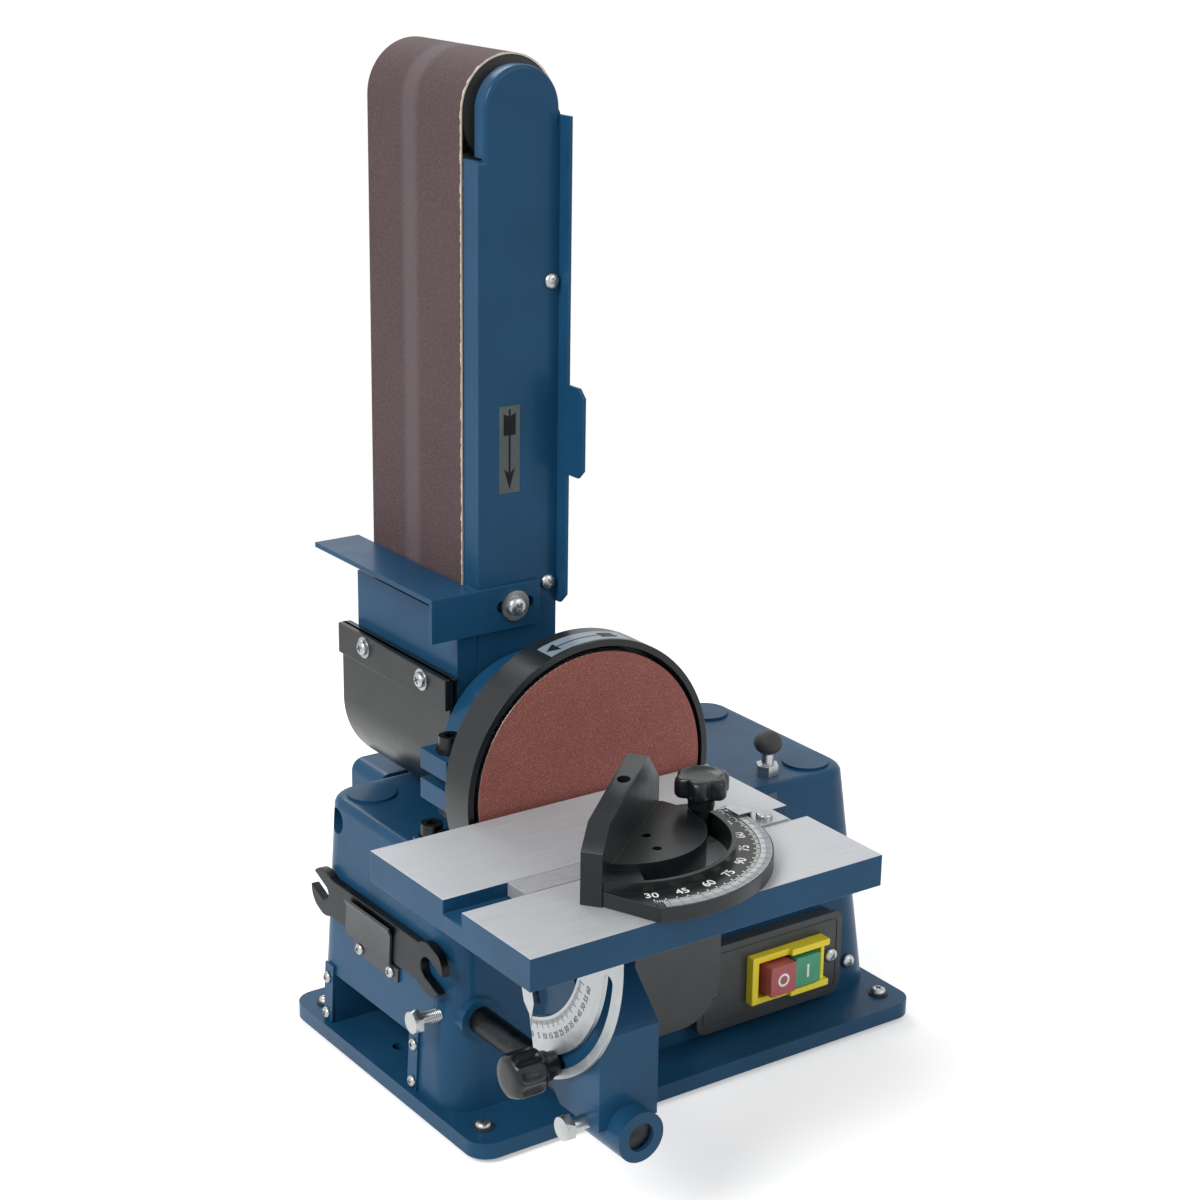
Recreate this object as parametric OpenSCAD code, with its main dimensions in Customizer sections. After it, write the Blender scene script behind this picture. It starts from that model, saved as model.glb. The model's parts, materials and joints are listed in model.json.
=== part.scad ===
// Benchtop belt and disc sander. Millimetres, +Z up.
// The origin is on the bench, under the centre of the base plate.
// X runs to the right along the front, Y runs to the back, and the sanding disc faces the front.

/* [Base] */
// Length of the base plate, left to right
base_w = 330; // [310:5:360]
// Depth of the base plate, front to back
base_d = 222; // [210:2:240]
// Height of the rolled rim of the base plate
base_h = 10; // [8:1:14]
// Sheet thickness of the base plate
base_t = 2.5; // [2:0.5:4]
// Radius of the corners of the base plate
base_r = 14; // [8:1:20]
// Height of the rubber feet below the rim
foot_h = 3; // [2:1:8]
// Radius of a rubber foot
foot_r = 11; // [8:1:12]
// Distance of a foot screw from the side edge
foot_in_x = 15; // [13:1:18]
// Distance of a foot screw from the front or back edge
foot_in_y = 19; // [16:1:22]
// Diameter of the bench bolt holes
bolt_hole_d = 9; // [7:0.5:11]

/* [Housing] */
// Width of the housing at the bottom
house_w = 321; // [315:1:321]
// Depth of the housing at the bottom
house_d = 165; // [160:1:170]
// Width of the housing at the top
house_top_w = 300; // [294:2:304]
// Depth of the housing at the top
house_top_d = 148; // [144:1:150]
// Height of the housing above the base plate
house_h = 147; // [140:1:150]
// Wall of the housing
house_t = 3; // [2:0.5:4]
// Radius of the upright corners
house_r = 20; // [14:1:24]
// Radius of the top edges
house_edge_r = 6; // [4:1:8]
// Height of the raised corner pads
pad_h = 1.5; // [1:0.5:3]
// Length of the opening in the left wall
side_open_l = 94; // [80:2:100]
// Height of the opening in the left wall
side_open_h = 33; // [26:1:38]
// Middle of that opening along the housing
side_open_y = 20; // [14:1:26]

/* [Spindle and disc] */
// Height of the spindle axis above the bench
shaft_z = 214; // [212:1:218]
// Diameter of the spindle
shaft_d = 16; // [14:1:17]
// Diameter of the sanding disc
disc_d = 150; // [146:1:150]
// Thickness of the aluminium disc plate
disc_t = 8; // [6:0.5:10]
// Thickness of the abrasive paper
paper_t = 1; // [0.6:0.2:1.4]
// Radius of the disc guard
ring_r = 82; // [81:0.5:84]
// Wall of the disc guard
ring_t = 4; // [3:0.5:4.5]
// Depth of the disc guard
ring_depth = 24; // [22:1:26]

/* [Sanding belt] */
// Width of the sanding belt
belt_w = 100; // [96:1:101]
// Thickness of the sanding belt
belt_t = 1; // [0.6:0.1:1.2]
// Radius of both drums
drum_r = 29.7; // [29:0.1:30]
// Distance between the two drum axes
belt_centres = 363; // [355:1:375]

/* [Belt arm] */
// Sheet thickness of the arm
arm_t = 3; // [2:0.5:3.5]
// Radius of the round boss that turns in the pedestal
arm_boss_r = 46; // [44:0.5:47]
// Radius of the clamp collar on the pedestal
collar_r = 57; // [56:0.5:60]
// Gap of the split in the clamp collar
split_gap = 6; // [3:1:8]
// Projection of the work stop in front of the belt
stop_reach = 30; // [20:1:34]
// Travel of the work stop
stop_travel = 8; // [4:1:8]

/* [Table] */
// Length of the table along the disc
table_w = 225; // [215:1:235]
// Depth of the table
table_d = 154; // [148:1:160]
// Height of the table top above the bench
table_z = 207; // [205:1:208]
// Depth of the table's rim
table_rim = 18; // [16:1:20]
// Thickness of the table top
table_t = 5; // [4:0.5:5.5]
// Width of the mitre slot
slot_w = 17.5; // [15:0.5:19]
// Depth of the mitre slot
slot_depth = 8; // [6:0.5:8.5]
// Diameter of the rod that carries the table
rod_d = 16; // [14:1:17]
// Length of the rod
rod_l = 225; // [200:5:235]

/* [Hidden] */
$fn = 64;
run = 0.3;          // gap between pieces that move past each other
fit = 0.05;         // radial clearance of a running fit
seat = 0.1;         // radial clearance of a screw in its hole

plate_z0 = foot_h;                  // underside of the rim
plate_z1 = foot_h + base_h;         // top of the base plate
foot_x = base_w / 2 - foot_in_x;
foot_y = base_d / 2 - foot_in_y;

house_x = 1;                        // middle of the housing's foot
house_y = 8.5;
house_top_x = -2;                   // middle of the housing's top
house_top_y = 13.5;
house_z = plate_z1 + house_h;       // top face of the housing

shaft_x = -80;
disc_y = -96;                       // face of the abrasive disc
ring_y0 = disc_y + 0.5;
ring_y1 = ring_y0 + ring_depth;
collar_y0 = ring_y1;
collar_y1 = -26.5;
arm_y0 = -24.5;                     // front face of the arm plate
belt_y0 = -8.5;
belt_y1 = belt_y0 + belt_w;
belt_in_r = drum_r + run;
belt_r = belt_in_r + belt_t;
idler_z = shaft_z + belt_centres;
arm_back_y = belt_y1 + 1;           // front face of the arm's back plate

table_x0 = -225.5;
table_y1 = disc_y - 2.8;
table_y0 = table_y1 - table_d;
table_under = table_z - table_t;
slot_y0 = table_y1 - 91.2;          // front wall of the mitre slot
rod_x = -138;
rod_z = 69;
rod_y0 = -225;                      // front end of the rod
pivot_y = -142;                     // tilting axis of the table
pivot_z = table_z - 33;
pivot_r = 5;
lug_t = 8;
tilt_r = 85;                        // radius of the curved slot
tilt_a = 26;                        // place of the clamp bolt, from straight down
bracket_w = 38;
bracket_x0 = rod_x - bracket_w / 2;
bracket_x1 = rod_x + bracket_w / 2;

motor_x = 62;
motor_z = 82;
motor_r = 58;
pulley_r = 17;
pulley_y = 106;
pulley_w = 14;
cover_y1 = 122;
cover_t = 2;

left_face = house_x - house_w / 2;
bench_x = 140.6;    // bench bolt holes, from the middle
bench_y = 17.2;
socket_y = 70;      // second socket for the table's rod, high in the left wall
socket_z = 146;
tab_w = 10;
tab_t = 1.5;
side_tab_y = [side_open_y - side_open_l / 2 - tab_w + 1.5, side_open_y + side_open_l / 2 - 1.5];
clip_y = 15.5;        // middle of the spanner clip
clip_z = 89.5;        // lower edge of the spanner
clip_w = 52;
spanner_t = 5.6;
spanner_mid = 9.5;  // its middle line, above clip_z
near_y = -47.7;     // middles of its two heads
far_y = 70.8;
switch_x = 78.5;
switch_z = 46.8;
panel_w = 114;
panel_h = 57;
panel_x = 68;
panel_z = 46.5;
drive_len = sqrt(pow(motor_x - shaft_x, 2) + pow(shaft_z - motor_z, 2));
drive_a = atan2(shaft_z - motor_z, shaft_x - motor_x);
foot_half = 76;
ped_t = 12;
ped_screw_x = 68;
ear_y0 = -62;
ear_y1 = -34;
clamp_x = shaft_x - collar_r - 7;
clamp_y = -48;
chute_y0 = -92;
plate_x0 = -110;
plate_x1 = -57;
dome_x = -81.5;
dome_r = 24.5;
dome_edge = 10;
stop_plate_x0 = plate_x1 + 0.1;
stop_plate_x1 = stop_plate_x0 + 2;
stop_x = 93;
stop_y = -41;
stop_top = shaft_z - (stop_plate_x1 - shaft_x) - run;
ball_r = 9;
guard_screw_r = (collar_r + arm_boss_r) / 2; // circle of the disc guard's screws
cover_x = -124;
guard_x = -130;
guard_r = shaft_x - guard_x;
stop_z = 312;
stop_y0 = arm_y0 - run - arm_t;        // front face of the work stop's leg
leg_x1 = -70;
stop_bolt_x = -88;
stop_bolt_z = 300;
axle_r = 6;
fork_y = arm_back_y + arm_t + run;
fork_t = 6;
fork_z = idler_z - 62;              // underside of the fork's bridge
lever_z = idler_z - 90;
cam_r = 14;
cam_off = 4;                        // the cam stands off its pivot by this much
platen_x0 = shaft_x - belt_in_r + run;
platen_t = 3;
tilt_bolt_y = pivot_y - tilt_r * sin(tilt_a);
tilt_bolt_z = pivot_z - tilt_r * cos(tilt_a);
bar_x0 = -186.5;
bar_l = 175;
bar_t = slot_depth - 0.6;
mitre_x = -120;                     // pivot of the mitre gauge
mitre_y = slot_y0 + slot_w / 2;
mitre_a = -52.3;                    // the way the scale's middle points
mitre_r = 80;
mitre_slot_r = 52;
fence_x0 = -4;
fence_t = 11.7;

blue = [0.17, 0.30, 0.43];
black = [0.17, 0.18, 0.19];
zinc = [0.75, 0.75, 0.75];
steel = [0.62, 0.63, 0.66];

// Shared shapes

// Rectangle with round corners, centred
module round_rect(w, d, r) {
    square([w - 2 * r, d], center = true);
    square([w, d - 2 * r], center = true);
    for (x = [-1, 1], y = [-1, 1]) translate([x * (w / 2 - r), y * (d / 2 - r)]) circle(r);
}

// Slot with round ends along X, centred
module round_slot(l, w) {
    square([l - w, w], center = true);
    for (x = [-1, 1]) translate([x * (l - w) / 2, 0]) circle(w / 2);
}

// Turn a solid made along +Z so that it points along another axis
module to_left() { rotate([0, -90, 0]) children(); }
module to_right() { rotate([0, 90, 0]) children(); }
module to_front() { rotate([90, 0, 0]) children(); }
module to_back() { rotate([-90, 0, 0]) children(); }

// Solid cylinder along Y from y0 to y1 round an axis at x, z
module y_rod(x, z, y0, y1, r) {
    translate([x, y0, z]) to_back() cylinder(h = y1 - y0, r = r);
}

// Outline drawn in X and Z, made solid from y0 to y1
module in_xz(y0, y1) { translate([0, y1, 0]) rotate([90, 0, 0]) linear_extrude(y1 - y0) children(); }

// Outline drawn in Y and Z, made solid from x0 to x1
module in_yz(x0, x1) { translate([x0, 0, 0]) rotate([90, 0, 90]) linear_extrude(x1 - x0) children(); }

// Pan head screw: head above z = 0, shank below
module pan_screw(d = 4, l = 8) {
    rotate_extrude() {
        square([d / 2, 0.4 * d]);
        intersection() {
            square([d, 0.62 * d]);
            union() {
                square([d * 0.72, 0.62 * d]);
                square([d * 0.94, 0.3 * d]);
                translate([d * 0.66, 0.3 * d]) circle(0.28 * d, $fn = 24);
            }
        }
    }
    translate([0, 0, -l]) cylinder(h = l + 0.1, d = d, $fn = 24);
}

// Socket head cap screw: head above z = 0, shank below
module cap_screw(d = 8, l = 30) {
    difference() {
        cylinder(h = d, r = 0.8 * d, $fn = 32);
        translate([0, 0, d / 2]) cylinder(h = d, r = 0.43 * d, $fn = 6);
    }
    translate([0, 0, -l]) cylinder(h = l + 0.1, d = d, $fn = 32);
}

// Hexagon bolt: head above z = 0, shank below
module hex_bolt(d = 8, l = 20, head = 13) {
    intersection() {
        cylinder(h = 0.65 * d, r = head / sqrt(3), $fn = 6);
        cylinder(h = 0.65 * d, r1 = head * 0.62, r2 = head * 0.5, $fn = 32);
    }
    translate([0, 0, -l]) cylinder(h = l + 0.1, d = d, $fn = 32);
}

// Plain washer standing on z = 0
module washer(d, w, t) {
    difference() {
        cylinder(h = t, r = w / 2, $fn = 32);
        translate([0, 0, -1]) cylinder(h = t + 2, r = d / 2 + seat, $fn = 32);
    }
}

// Block with rounded upright corners that tapers from foot to top
module tapered_block(w0, d0, w1, d1, x0, y0, x1, y1, h, r, er) {
    hull() {
        for (x = [-1, 1], y = [-1, 1]) {
            translate([x0 + x * (w0 / 2 - r), y0 + y * (d0 / 2 - r), 0])
                cylinder(h = 0.5, r = r, $fn = 32);
            translate([x1 + x * (w1 / 2 - r), y1 + y * (d1 / 2 - r), h - er])
                rotate_extrude($fn = 32) {
                    square([r - er, er]);
                    translate([r - er, 0]) intersection() { circle(er, $fn = 24); square(er); }
                }
        }
    }
}

module feet_at() {
    for (x = [-1, 1], y = [-1, 1]) translate([x * foot_x, y * foot_y, 0]) children();
}

// Base

module base_plate() color(blue) difference() {
    union() {
        difference() {
            translate([0, 0, plate_z0]) linear_extrude(base_h) round_rect(base_w, base_d, base_r);
            translate([0, 0, plate_z0 - 1]) linear_extrude(base_h - base_t + 1)
                round_rect(base_w - 2 * base_t, base_d - 2 * base_t, base_r - base_t);
        }
        // sleeves that carry the bench bolts' pull down to the bench
        for (x = [-1, 1], y = [-1, 1]) translate([x * bench_x, y * bench_y, 0])
            cylinder(h = plate_z1 - 1, r = bolt_hole_d / 2 + 3);
    }
    feet_at() translate([0, 0, plate_z0]) cylinder(h = base_h + 1, r = 2.5 + seat);
    for (x = [-1, 1], y = [-1, 1]) translate([x * bench_x, y * bench_y, -1]) cylinder(h = 40, d = bolt_hole_d);
}

module rubber_feet() color(black) feet_at() difference() {
    rotate_extrude() {
        square([foot_r - 1.5, 1.5]);
        translate([0, 1]) square([foot_r, plate_z1 - base_t - 1]);
        translate([foot_r - 1.5, 1.5]) circle(1.5, $fn = 24);
    }
    translate([0, 0, 4]) cylinder(h = base_h + foot_h, r = 2.5 + fit);
}

module foot_washers() color(black) feet_at() translate([0, 0, plate_z1]) washer(5, 17, 1.2);

module foot_screws() color(zinc) feet_at() translate([0, 0, plate_z1 + 1.2]) pan_screw(5, 7.5);

// Housing

// The back wall leans in by this much per millimetre of height
function back_y(z) = (house_y + house_d / 2)
    - (z - plate_z1) * ((house_y + house_d / 2) - (house_top_y + house_top_d / 2)) / house_h;
function front_y(z) = (house_y - house_d / 2)
    + (z - plate_z1) * ((house_top_y - house_top_d / 2) - (house_y - house_d / 2)) / house_h;
function left_x(z) = (house_x - house_w / 2)
    + (z - plate_z1) * ((house_top_x - house_top_w / 2) - (house_x - house_w / 2)) / house_h;

module housing() color(blue) difference() {
    union() {
        difference() {
            translate([0, 0, plate_z1])
                tapered_block(house_w, house_d, house_top_w, house_top_d, house_x, house_y,
                    house_top_x, house_top_y, house_h, house_r, house_edge_r);
            translate([0, 0, plate_z1 - 0.01])
                tapered_block(house_w - 2 * house_t, house_d - 2 * house_t,
                    house_top_w - 2 * house_t, house_top_d - 2 * house_t, house_x, house_y,
                    house_top_x, house_top_y, house_h - house_t, house_r - house_t, 3);
        }
        // flat pads on three corners of the top
        for (p = [[-1, 1], [1, 1], [1, -1]])
            translate([house_top_x + p[0] * (house_top_w / 2 - 22),
                house_top_y + p[1] * (house_top_d / 2 - 22), house_z - 1])
                cylinder(h = 1 + pad_h, r = 15);
        // socket of the table's rod, from the front wall inwards
        intersection() {
            translate([rod_x, -74, rod_z]) to_back() cylinder(h = 74, r = rod_d / 2 + 5);
            translate([left_face + 5.5, -71, plate_z1]) cube([60, 75, 100]);
        }
        // second socket, from the left wall inwards
        intersection() {
            translate([-170, socket_y, socket_z]) to_right() cylinder(h = 50, r = rod_d / 2 + 3);
            translate([0, 0, plate_z1]) tapered_block(house_w - 1, house_d - 1, house_top_w - 1,
                house_top_d - 1, house_x, house_y, house_top_x, house_top_y, house_h, house_r - 1, 3);
        }
    }
    // bores of the two sockets
    translate([rod_x, -80, rod_z]) to_back() cylinder(h = 200, r = rod_d / 2 + fit);
    translate([-170, socket_y, socket_z]) to_right() cylinder(h = 60, r = rod_d / 2 + fit);
    // opening in the left wall
    translate([left_face - 5, side_open_y - side_open_l / 2, plate_z1 - 1])
        cube([30, side_open_l, side_open_h + 1]);
    // clamp bolt of the rod
    translate([left_face - 5, -52, rod_z]) to_right() cylinder(h = 25, r = 4 + seat);
    // stud of the bumper and screws of the pedestal
    translate([stop_x, stop_y, house_z - 20]) cylinder(h = 30, r = 4 + seat);
    pedestal_screw_at() translate([0, 0, -30]) cylinder(h = 40, r = 4 + seat);
    // shaft of the motor
    y_rod(motor_x, motor_z, 70, 100, 12);
    // opening for the switch
    translate([switch_x - 31, -80, switch_z - 17]) cube([62, 30, 34]);
    front_screw_at() translate([0, 0, -9]) cylinder(h = 20, r = 2.5 + seat, $fn = 24);
    cover_screw_at() translate([0, 0, -45]) cylinder(h = 50, r = 2 + seat, $fn = 24);
    // the corners keep clear of the feet's washers
    feet_at() translate([0, 0, plate_z1 - 1]) cylinder(h = 6, r = 9);
    // screws in the left wall
    side_screw_at() translate([0, 0, -9]) cylinder(h = 20, r = 2 + seat, $fn = 24);
}

// The brackets line the two ends of the opening and are screwed outside the wall
module side_brackets() color(blue) for (i = [0, 1]) {
    y0 = side_tab_y[i];
    difference() {
        union() {
            in_side_wall(0.05, tab_t) translate([y0, plate_z1 + 0.3]) square([tab_w, side_open_h + 5]);
            translate([left_face + 1.4, i == 0 ? y0 + tab_w - 1.5 : y0, plate_z1 + 0.1])
                cube([34, 1.4, side_open_h - 0.5]);
        }
        side_screw_at() translate([0, 0, -9]) cylinder(h = 20, r = 2 + seat, $fn = 24);
    }
}

// A flat outline in Y and Z laid on the leaning left wall, from off to off + t outside it
wall_lean = atan2(left_x(house_z) - left_x(plate_z1), house_h);
module in_side_wall(off, t) {
    translate([left_x(plate_z1), 0, plate_z1]) rotate([0, wall_lean, 0])
        translate([-off - t, 0, -plate_z1]) rotate([90, 0, 90]) linear_extrude(t) children();
}

// Place a screw that points out of the left wall
module on_side_wall(y, z, off = 0) {
    translate([left_x(plate_z1), 0, plate_z1]) rotate([0, wall_lean, 0])
        translate([-off, y, z - plate_z1]) rotate([0, -90, 0]) children();
}

module side_screw_at() {
    for (i = [0, 1], z = [plate_z1 + 5, plate_z1 + 29])
        on_side_wall(side_tab_y[i] + tab_w / 2 + (i == 0 ? -1 : 1), z, tab_t + 0.05) children();
    for (y = [-18, 18]) on_side_wall(clip_y + y, clip_z - 13, 1.5) children();
}

module side_screws() color(zinc) side_screw_at() pan_screw(4, 6);

// Bent sheet clip that holds the spanner against the left wall
module spanner_clip() color(black) difference() {
    on_side_wall(clip_y, clip_z) in_clip();
    side_screw_at() translate([0, 0, -9]) cylinder(h = 20, r = 2 + seat, $fn = 24);
}

module in_clip() {
    // sheet profile in height and offset from the wall
    rotate([0, 0, -90]) translate([-clip_w / 2, 0, 0]) rotate([90, 0, 90]) linear_extrude(clip_w)
        polygon([[-17, 0.02], [-17, 1.5], [-8.5, 1.5], [-4, 7.8], [14, 7.8], [18, 9.6],
            [19, 8.4], [14.5, 6.3], [-3.5, 6.3], [-7.5, 0.02]]);
}

// Double open ended spanner, held behind the clip
module spanner() color(black) on_side_wall(0, clip_z, run) linear_extrude(spanner_t)
    translate([spanner_mid, 0]) difference() {
        // drawn with height along X and length along Y
        union() {
            translate([-12, near_y]) square([24, far_y - near_y]);
            spanner_head(near_y, 162, 15, 4);
            spanner_head(far_y, -20, 14, 3.5);
        }
        spanner_jaw(near_y, 162, 13);
        spanner_jaw(far_y, -20, 10);
    }
module spanner_head(y, turn, r, reach) {
    translate([0, y]) rotate(turn) {
        circle(r);
        translate([0, reach]) circle(r);
    }
}
module spanner_jaw(y, turn, w) {
    translate([0, y]) rotate(turn) {
        translate([-w / 2, 1]) square([w, 40]);
        translate([0, 1]) circle(w / 2);
    }
}

module rod_clamp_bolt() color(zinc)
    translate([left_x(rod_z) - 12, -52, rod_z]) to_left()
        hex_bolt(8, rod_x - rod_d / 2 - run - left_x(rod_z) + 12, 13);

// Switch

panel_front = front_y(0) - 4;

module switch_panel() color(black) difference() {
    union() {
        in_xz(panel_front - 3, panel_front) translate([panel_x, panel_z]) round_rect(panel_w, panel_h, 7);
        // frame that stands the panel off the leaning wall
        difference() {
            in_yz(panel_x - panel_w / 2 + 3, panel_x + panel_w / 2 - 3)
                polygon([[panel_front - 1, panel_z - panel_h / 2 + 3],
                    [front_y(panel_z - panel_h / 2 + 3) - 0.3, panel_z - panel_h / 2 + 3],
                    [front_y(panel_z + panel_h / 2 - 3) - 0.3, panel_z + panel_h / 2 - 3],
                    [panel_front - 1, panel_z + panel_h / 2 - 3]]);
            translate([panel_x - panel_w / 2 + 6, panel_front, panel_z - panel_h / 2 + 6])
                cube([panel_w - 12, 40, panel_h - 12]);
        }
    }
    // border groove
    difference() {
        in_xz(panel_front - 4, panel_front - 2.5)
            translate([panel_x, panel_z]) round_rect(panel_w - 8, panel_h - 8, 5);
        in_xz(panel_front - 5, panel_front - 2)
            translate([panel_x, panel_z]) round_rect(panel_w - 10, panel_h - 10, 4);
    }
    translate([switch_x - 28, panel_front - 10, switch_z - 15]) cube([56, 30, 30]);
    panel_screw_at() translate([0, 0, -9]) cylinder(h = 20, r = 2.5 + seat, $fn = 24);
}

module panel_screw_at() {
    for (p = [[panel_x - panel_w / 2 + 9, panel_z - 1], [panel_x + panel_w / 2 - 9, panel_z - 1]])
        translate([p[0], panel_front - 3, p[1]]) to_front() children();
}

// Screw low on the housing's front, beside the panel
module front_screw_at() {
    translate([139, front_y(31) - 0.5, 31]) to_front() children();
}

module panel_screws() color(zinc) {
    panel_screw_at() pan_screw(5, 6);
    front_screw_at() pan_screw(5, 6);
}

// Switch housing: a frame with two wells for the buttons
module switch_frame() color([0.93, 0.80, 0.10]) difference() {
    union() {
        in_xz(panel_front - 6, panel_front - 3) translate([switch_x, switch_z]) round_rect(59, 32, 3);
        in_xz(panel_front - 12, panel_front - 5) translate([switch_x, switch_z]) round_rect(52, 27, 2);
        in_xz(panel_front - 4, panel_front + 22) translate([switch_x, switch_z]) square([55, 29], center = true);
    }
    for (x = [-10.5, 10.5]) in_xz(panel_front - 20, panel_front + 18)
        translate([switch_x + x, switch_z]) square([20.6, 20.6], center = true);
}

module button(x, proud) {
    in_xz(panel_front - 12 - proud, panel_front + 8)
        translate([switch_x + x, switch_z]) round_rect(20, 20, 1.5);
}
module off_button() color([0.65, 0.14, 0.14]) button(-10.5, 4);
module on_button() color([0.10, 0.45, 0.30]) button(10.5, 2);

// Drive

module cover_outline(grow = 0) {
    translate([-6, 108]) round_rect(212 + 2 * grow, 104 + 2 * grow, 8 + grow);
    hull() {
        translate([motor_x, motor_z]) circle(pulley_r + 11 + grow, $fn = 32);
        translate([shaft_x, shaft_z]) circle(pulley_r + 5 + grow, $fn = 32);
    }
}

module cover_front(grow) {
    polygon([[60, 0], [back_y(0) + 0.3 + grow, 0], [back_y(house_z) + 0.3 + grow, house_z + 1 - grow],
        [96 + grow, house_z + 1 - grow], [96 + grow, 300], [60, 300]]);
}

// Cover of the drive behind the housing: its front edge follows the leaning wall
module drive_cover() color(blue) difference() {
    in_xz(70, cover_y1) cover_outline();
    in_yz(-300, 300) cover_front(0);
    difference() {
        in_xz(60, cover_y1 - cover_t) cover_outline(-cover_t);
        translate([-300, 90, house_z - cover_t]) cube([600, 8, 200]);
    }
    y_rod(shaft_x, shaft_z, 90, 99, shaft_d / 2 + 3);
    cover_screw_at() translate([0, 0, -9]) cylinder(h = 20, r = 2 + seat, $fn = 24);
}

// Screws that hold the drive cover against the housing's back wall
module cover_screw_at() {
    for (p = [[-104, 148], [-104, 68], [92, 148], [92, 68]])
        translate([p[0], cover_y1, p[1]]) to_back() children();
}

module cover_screws() color(zinc) cover_screw_at() pan_screw(4, 34);

module motor() color(steel) {
    y_rod(motor_x, motor_z, -40, 70, motor_r);
    y_rod(motor_x, motor_z, -46, 76, 24);
    for (y = [-25, 45]) translate([motor_x - 46, y, plate_z1]) cube([92, 14, 24]);
}

module motor_rotor() color(steel) {
    y_rod(motor_x, motor_z, 76.3, 114, 7);
    pulley(motor_x, motor_z);
}

// Belt pulley with two rims
module pulley(x, z) {
    y_rod(x, z, pulley_y - pulley_w / 2, pulley_y + pulley_w / 2, pulley_r - 2);
    for (y = [-1, 1]) y_rod(x, z, pulley_y + y * (pulley_w / 2 - 1) - 1, pulley_y + y * (pulley_w / 2 - 1) + 1, pulley_r);
}

module drive_loop(r) {
    translate([motor_x, motor_z]) rotate(drive_a) {
        circle(r);
        translate([drive_len, 0]) circle(r);
        translate([0, -r]) square([drive_len, 2 * r]);
    }
}
module drive_belt() color(black) in_xz(pulley_y - 4, pulley_y + 4) difference() {
    drive_loop(pulley_r + 0.6);
    drive_loop(pulley_r - 2 + run);
}

// Pedestal

module pedestal_screw_at() {
    for (x = [-1, 1], y = [collar_y0 + 19, collar_y1 - 8])
        translate([shaft_x + x * ped_screw_x, y, house_z + ped_t]) children();
}

module pedestal() color(blue) difference() {
    union() {
        // foot on the housing
        translate([shaft_x - foot_half, collar_y0 + 1, house_z])
            cube([2 * foot_half, collar_y1 - collar_y0 - 1, ped_t]);
        // collar and the web under it
        y_rod(shaft_x, shaft_z, collar_y0, collar_y1, collar_r);
        in_xz(collar_y0 + 8, collar_y1 - 8) polygon([[shaft_x - 54, house_z + 2], [shaft_x + 54, house_z + 2],
            [shaft_x + collar_r - 1, shaft_z - 4], [shaft_x - collar_r + 1, shaft_z - 4]]);
        // clamp ears
        for (z = [split_gap / 2, -split_gap / 2 - 12])
            translate([shaft_x - collar_r - 18, ear_y0, shaft_z + z]) cube([26, ear_y1 - ear_y0, 12]);
    }
    // bore for the arm's boss
    y_rod(shaft_x, shaft_z, collar_y0 + 6, collar_y1 + 1, arm_boss_r + fit);
    y_rod(shaft_x, shaft_z, collar_y0 - 1, collar_y1, 30);
    // split
    translate([shaft_x - collar_r - 20, collar_y0 - 1, shaft_z - split_gap / 2])
        cube([collar_r - 20, collar_y1 - collar_y0 + 2, split_gap]);
    // keep clear of the housing's leaning front edge
    translate([shaft_x - 100, collar_y0 - 2, 0]) cube([200, 80, house_z]);
    pedestal_screw_at() translate([0, 0, -20]) cylinder(h = 30, r = 4 + seat);
    translate([clamp_x, clamp_y, shaft_z - 30]) cylinder(h = 60, r = 4 + seat);
    disc_guard_screw_at() translate([0, 0, -12]) cylinder(h = 20, r = 2.5 + seat, $fn = 24);
}

module pedestal_screws() color(black) pedestal_screw_at() {
    washer(8, 16, 1.6);
    translate([0, 0, 1.6]) cap_screw(8, ped_t + 14);
}

module clamp_screw() color(black) {
    translate([clamp_x, clamp_y, shaft_z + split_gap / 2 + 12]) {
        washer(8, 16, 1.6);
        translate([0, 0, 1.6]) cap_screw(8, split_gap + 35);
    }
    translate([clamp_x, clamp_y, shaft_z - split_gap / 2 - 12 - 6.5]) difference() {
        cylinder(h = 6.5, r = 7.5, $fn = 6);
        translate([0, 0, -1]) cylinder(h = 9, r = 4 + seat, $fn = 32);
    }
}

// Disc guard

module disc_guard_screw_at() {
    for (a = [-10, 90, 190]) translate([shaft_x + guard_screw_r * cos(a), ring_y1 - 3, shaft_z + guard_screw_r * sin(a)])
        to_front() children();
}

// Deep ring round the disc with a back wall on the pedestal
module disc_guard() color(black) difference() {
    y_rod(shaft_x, shaft_z, ring_y0, ring_y1, ring_r);
    y_rod(shaft_x, shaft_z, ring_y0 - 1, ring_y1 - 3, ring_r - ring_t);
    y_rod(shaft_x, shaft_z, ring_y1 - 4, ring_y1 + 1, 28);
    disc_guard_screw_at() translate([0, 0, -9]) cylinder(h = 20, r = 2.5 + seat, $fn = 24);
    // dust leaves the ring through its lower right side
    translate([shaft_x + 6, ring_y0 + 4, shaft_z - ring_r - 5]) cube([40, ring_depth - 8, 26]);
}

module disc_guard_screws() color(zinc) disc_guard_screw_at() pan_screw(5, 10);

// Dust chute under the ring, in front of the housing
module dust_chute() color(black) difference() {
    in_xz(chute_y0, front_y(160)) chute_outline(0);
    in_xz(chute_y0 + 2.5, front_y(160) + 1) chute_outline(2.5);
    y_rod(shaft_x, shaft_z, chute_y0 - 1, -40, ring_r + 0.2);
    // its open back follows the leaning wall and leaves room for the switch panel
    in_yz(-100, 100) polygon([[front_y(0) - 0.3, 0], [front_y(house_z) - 0.3, house_z], [0, house_z], [0, 0]]);
    translate([panel_x - panel_w / 2 - 0.5, panel_front - 3.5, 0]) cube([60, 60, panel_z + panel_h / 2 + 0.5]);
    panel_screw_at() translate([0, 0, -1]) cylinder(h = 12, r = 5 + run, $fn = 32);
}

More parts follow.
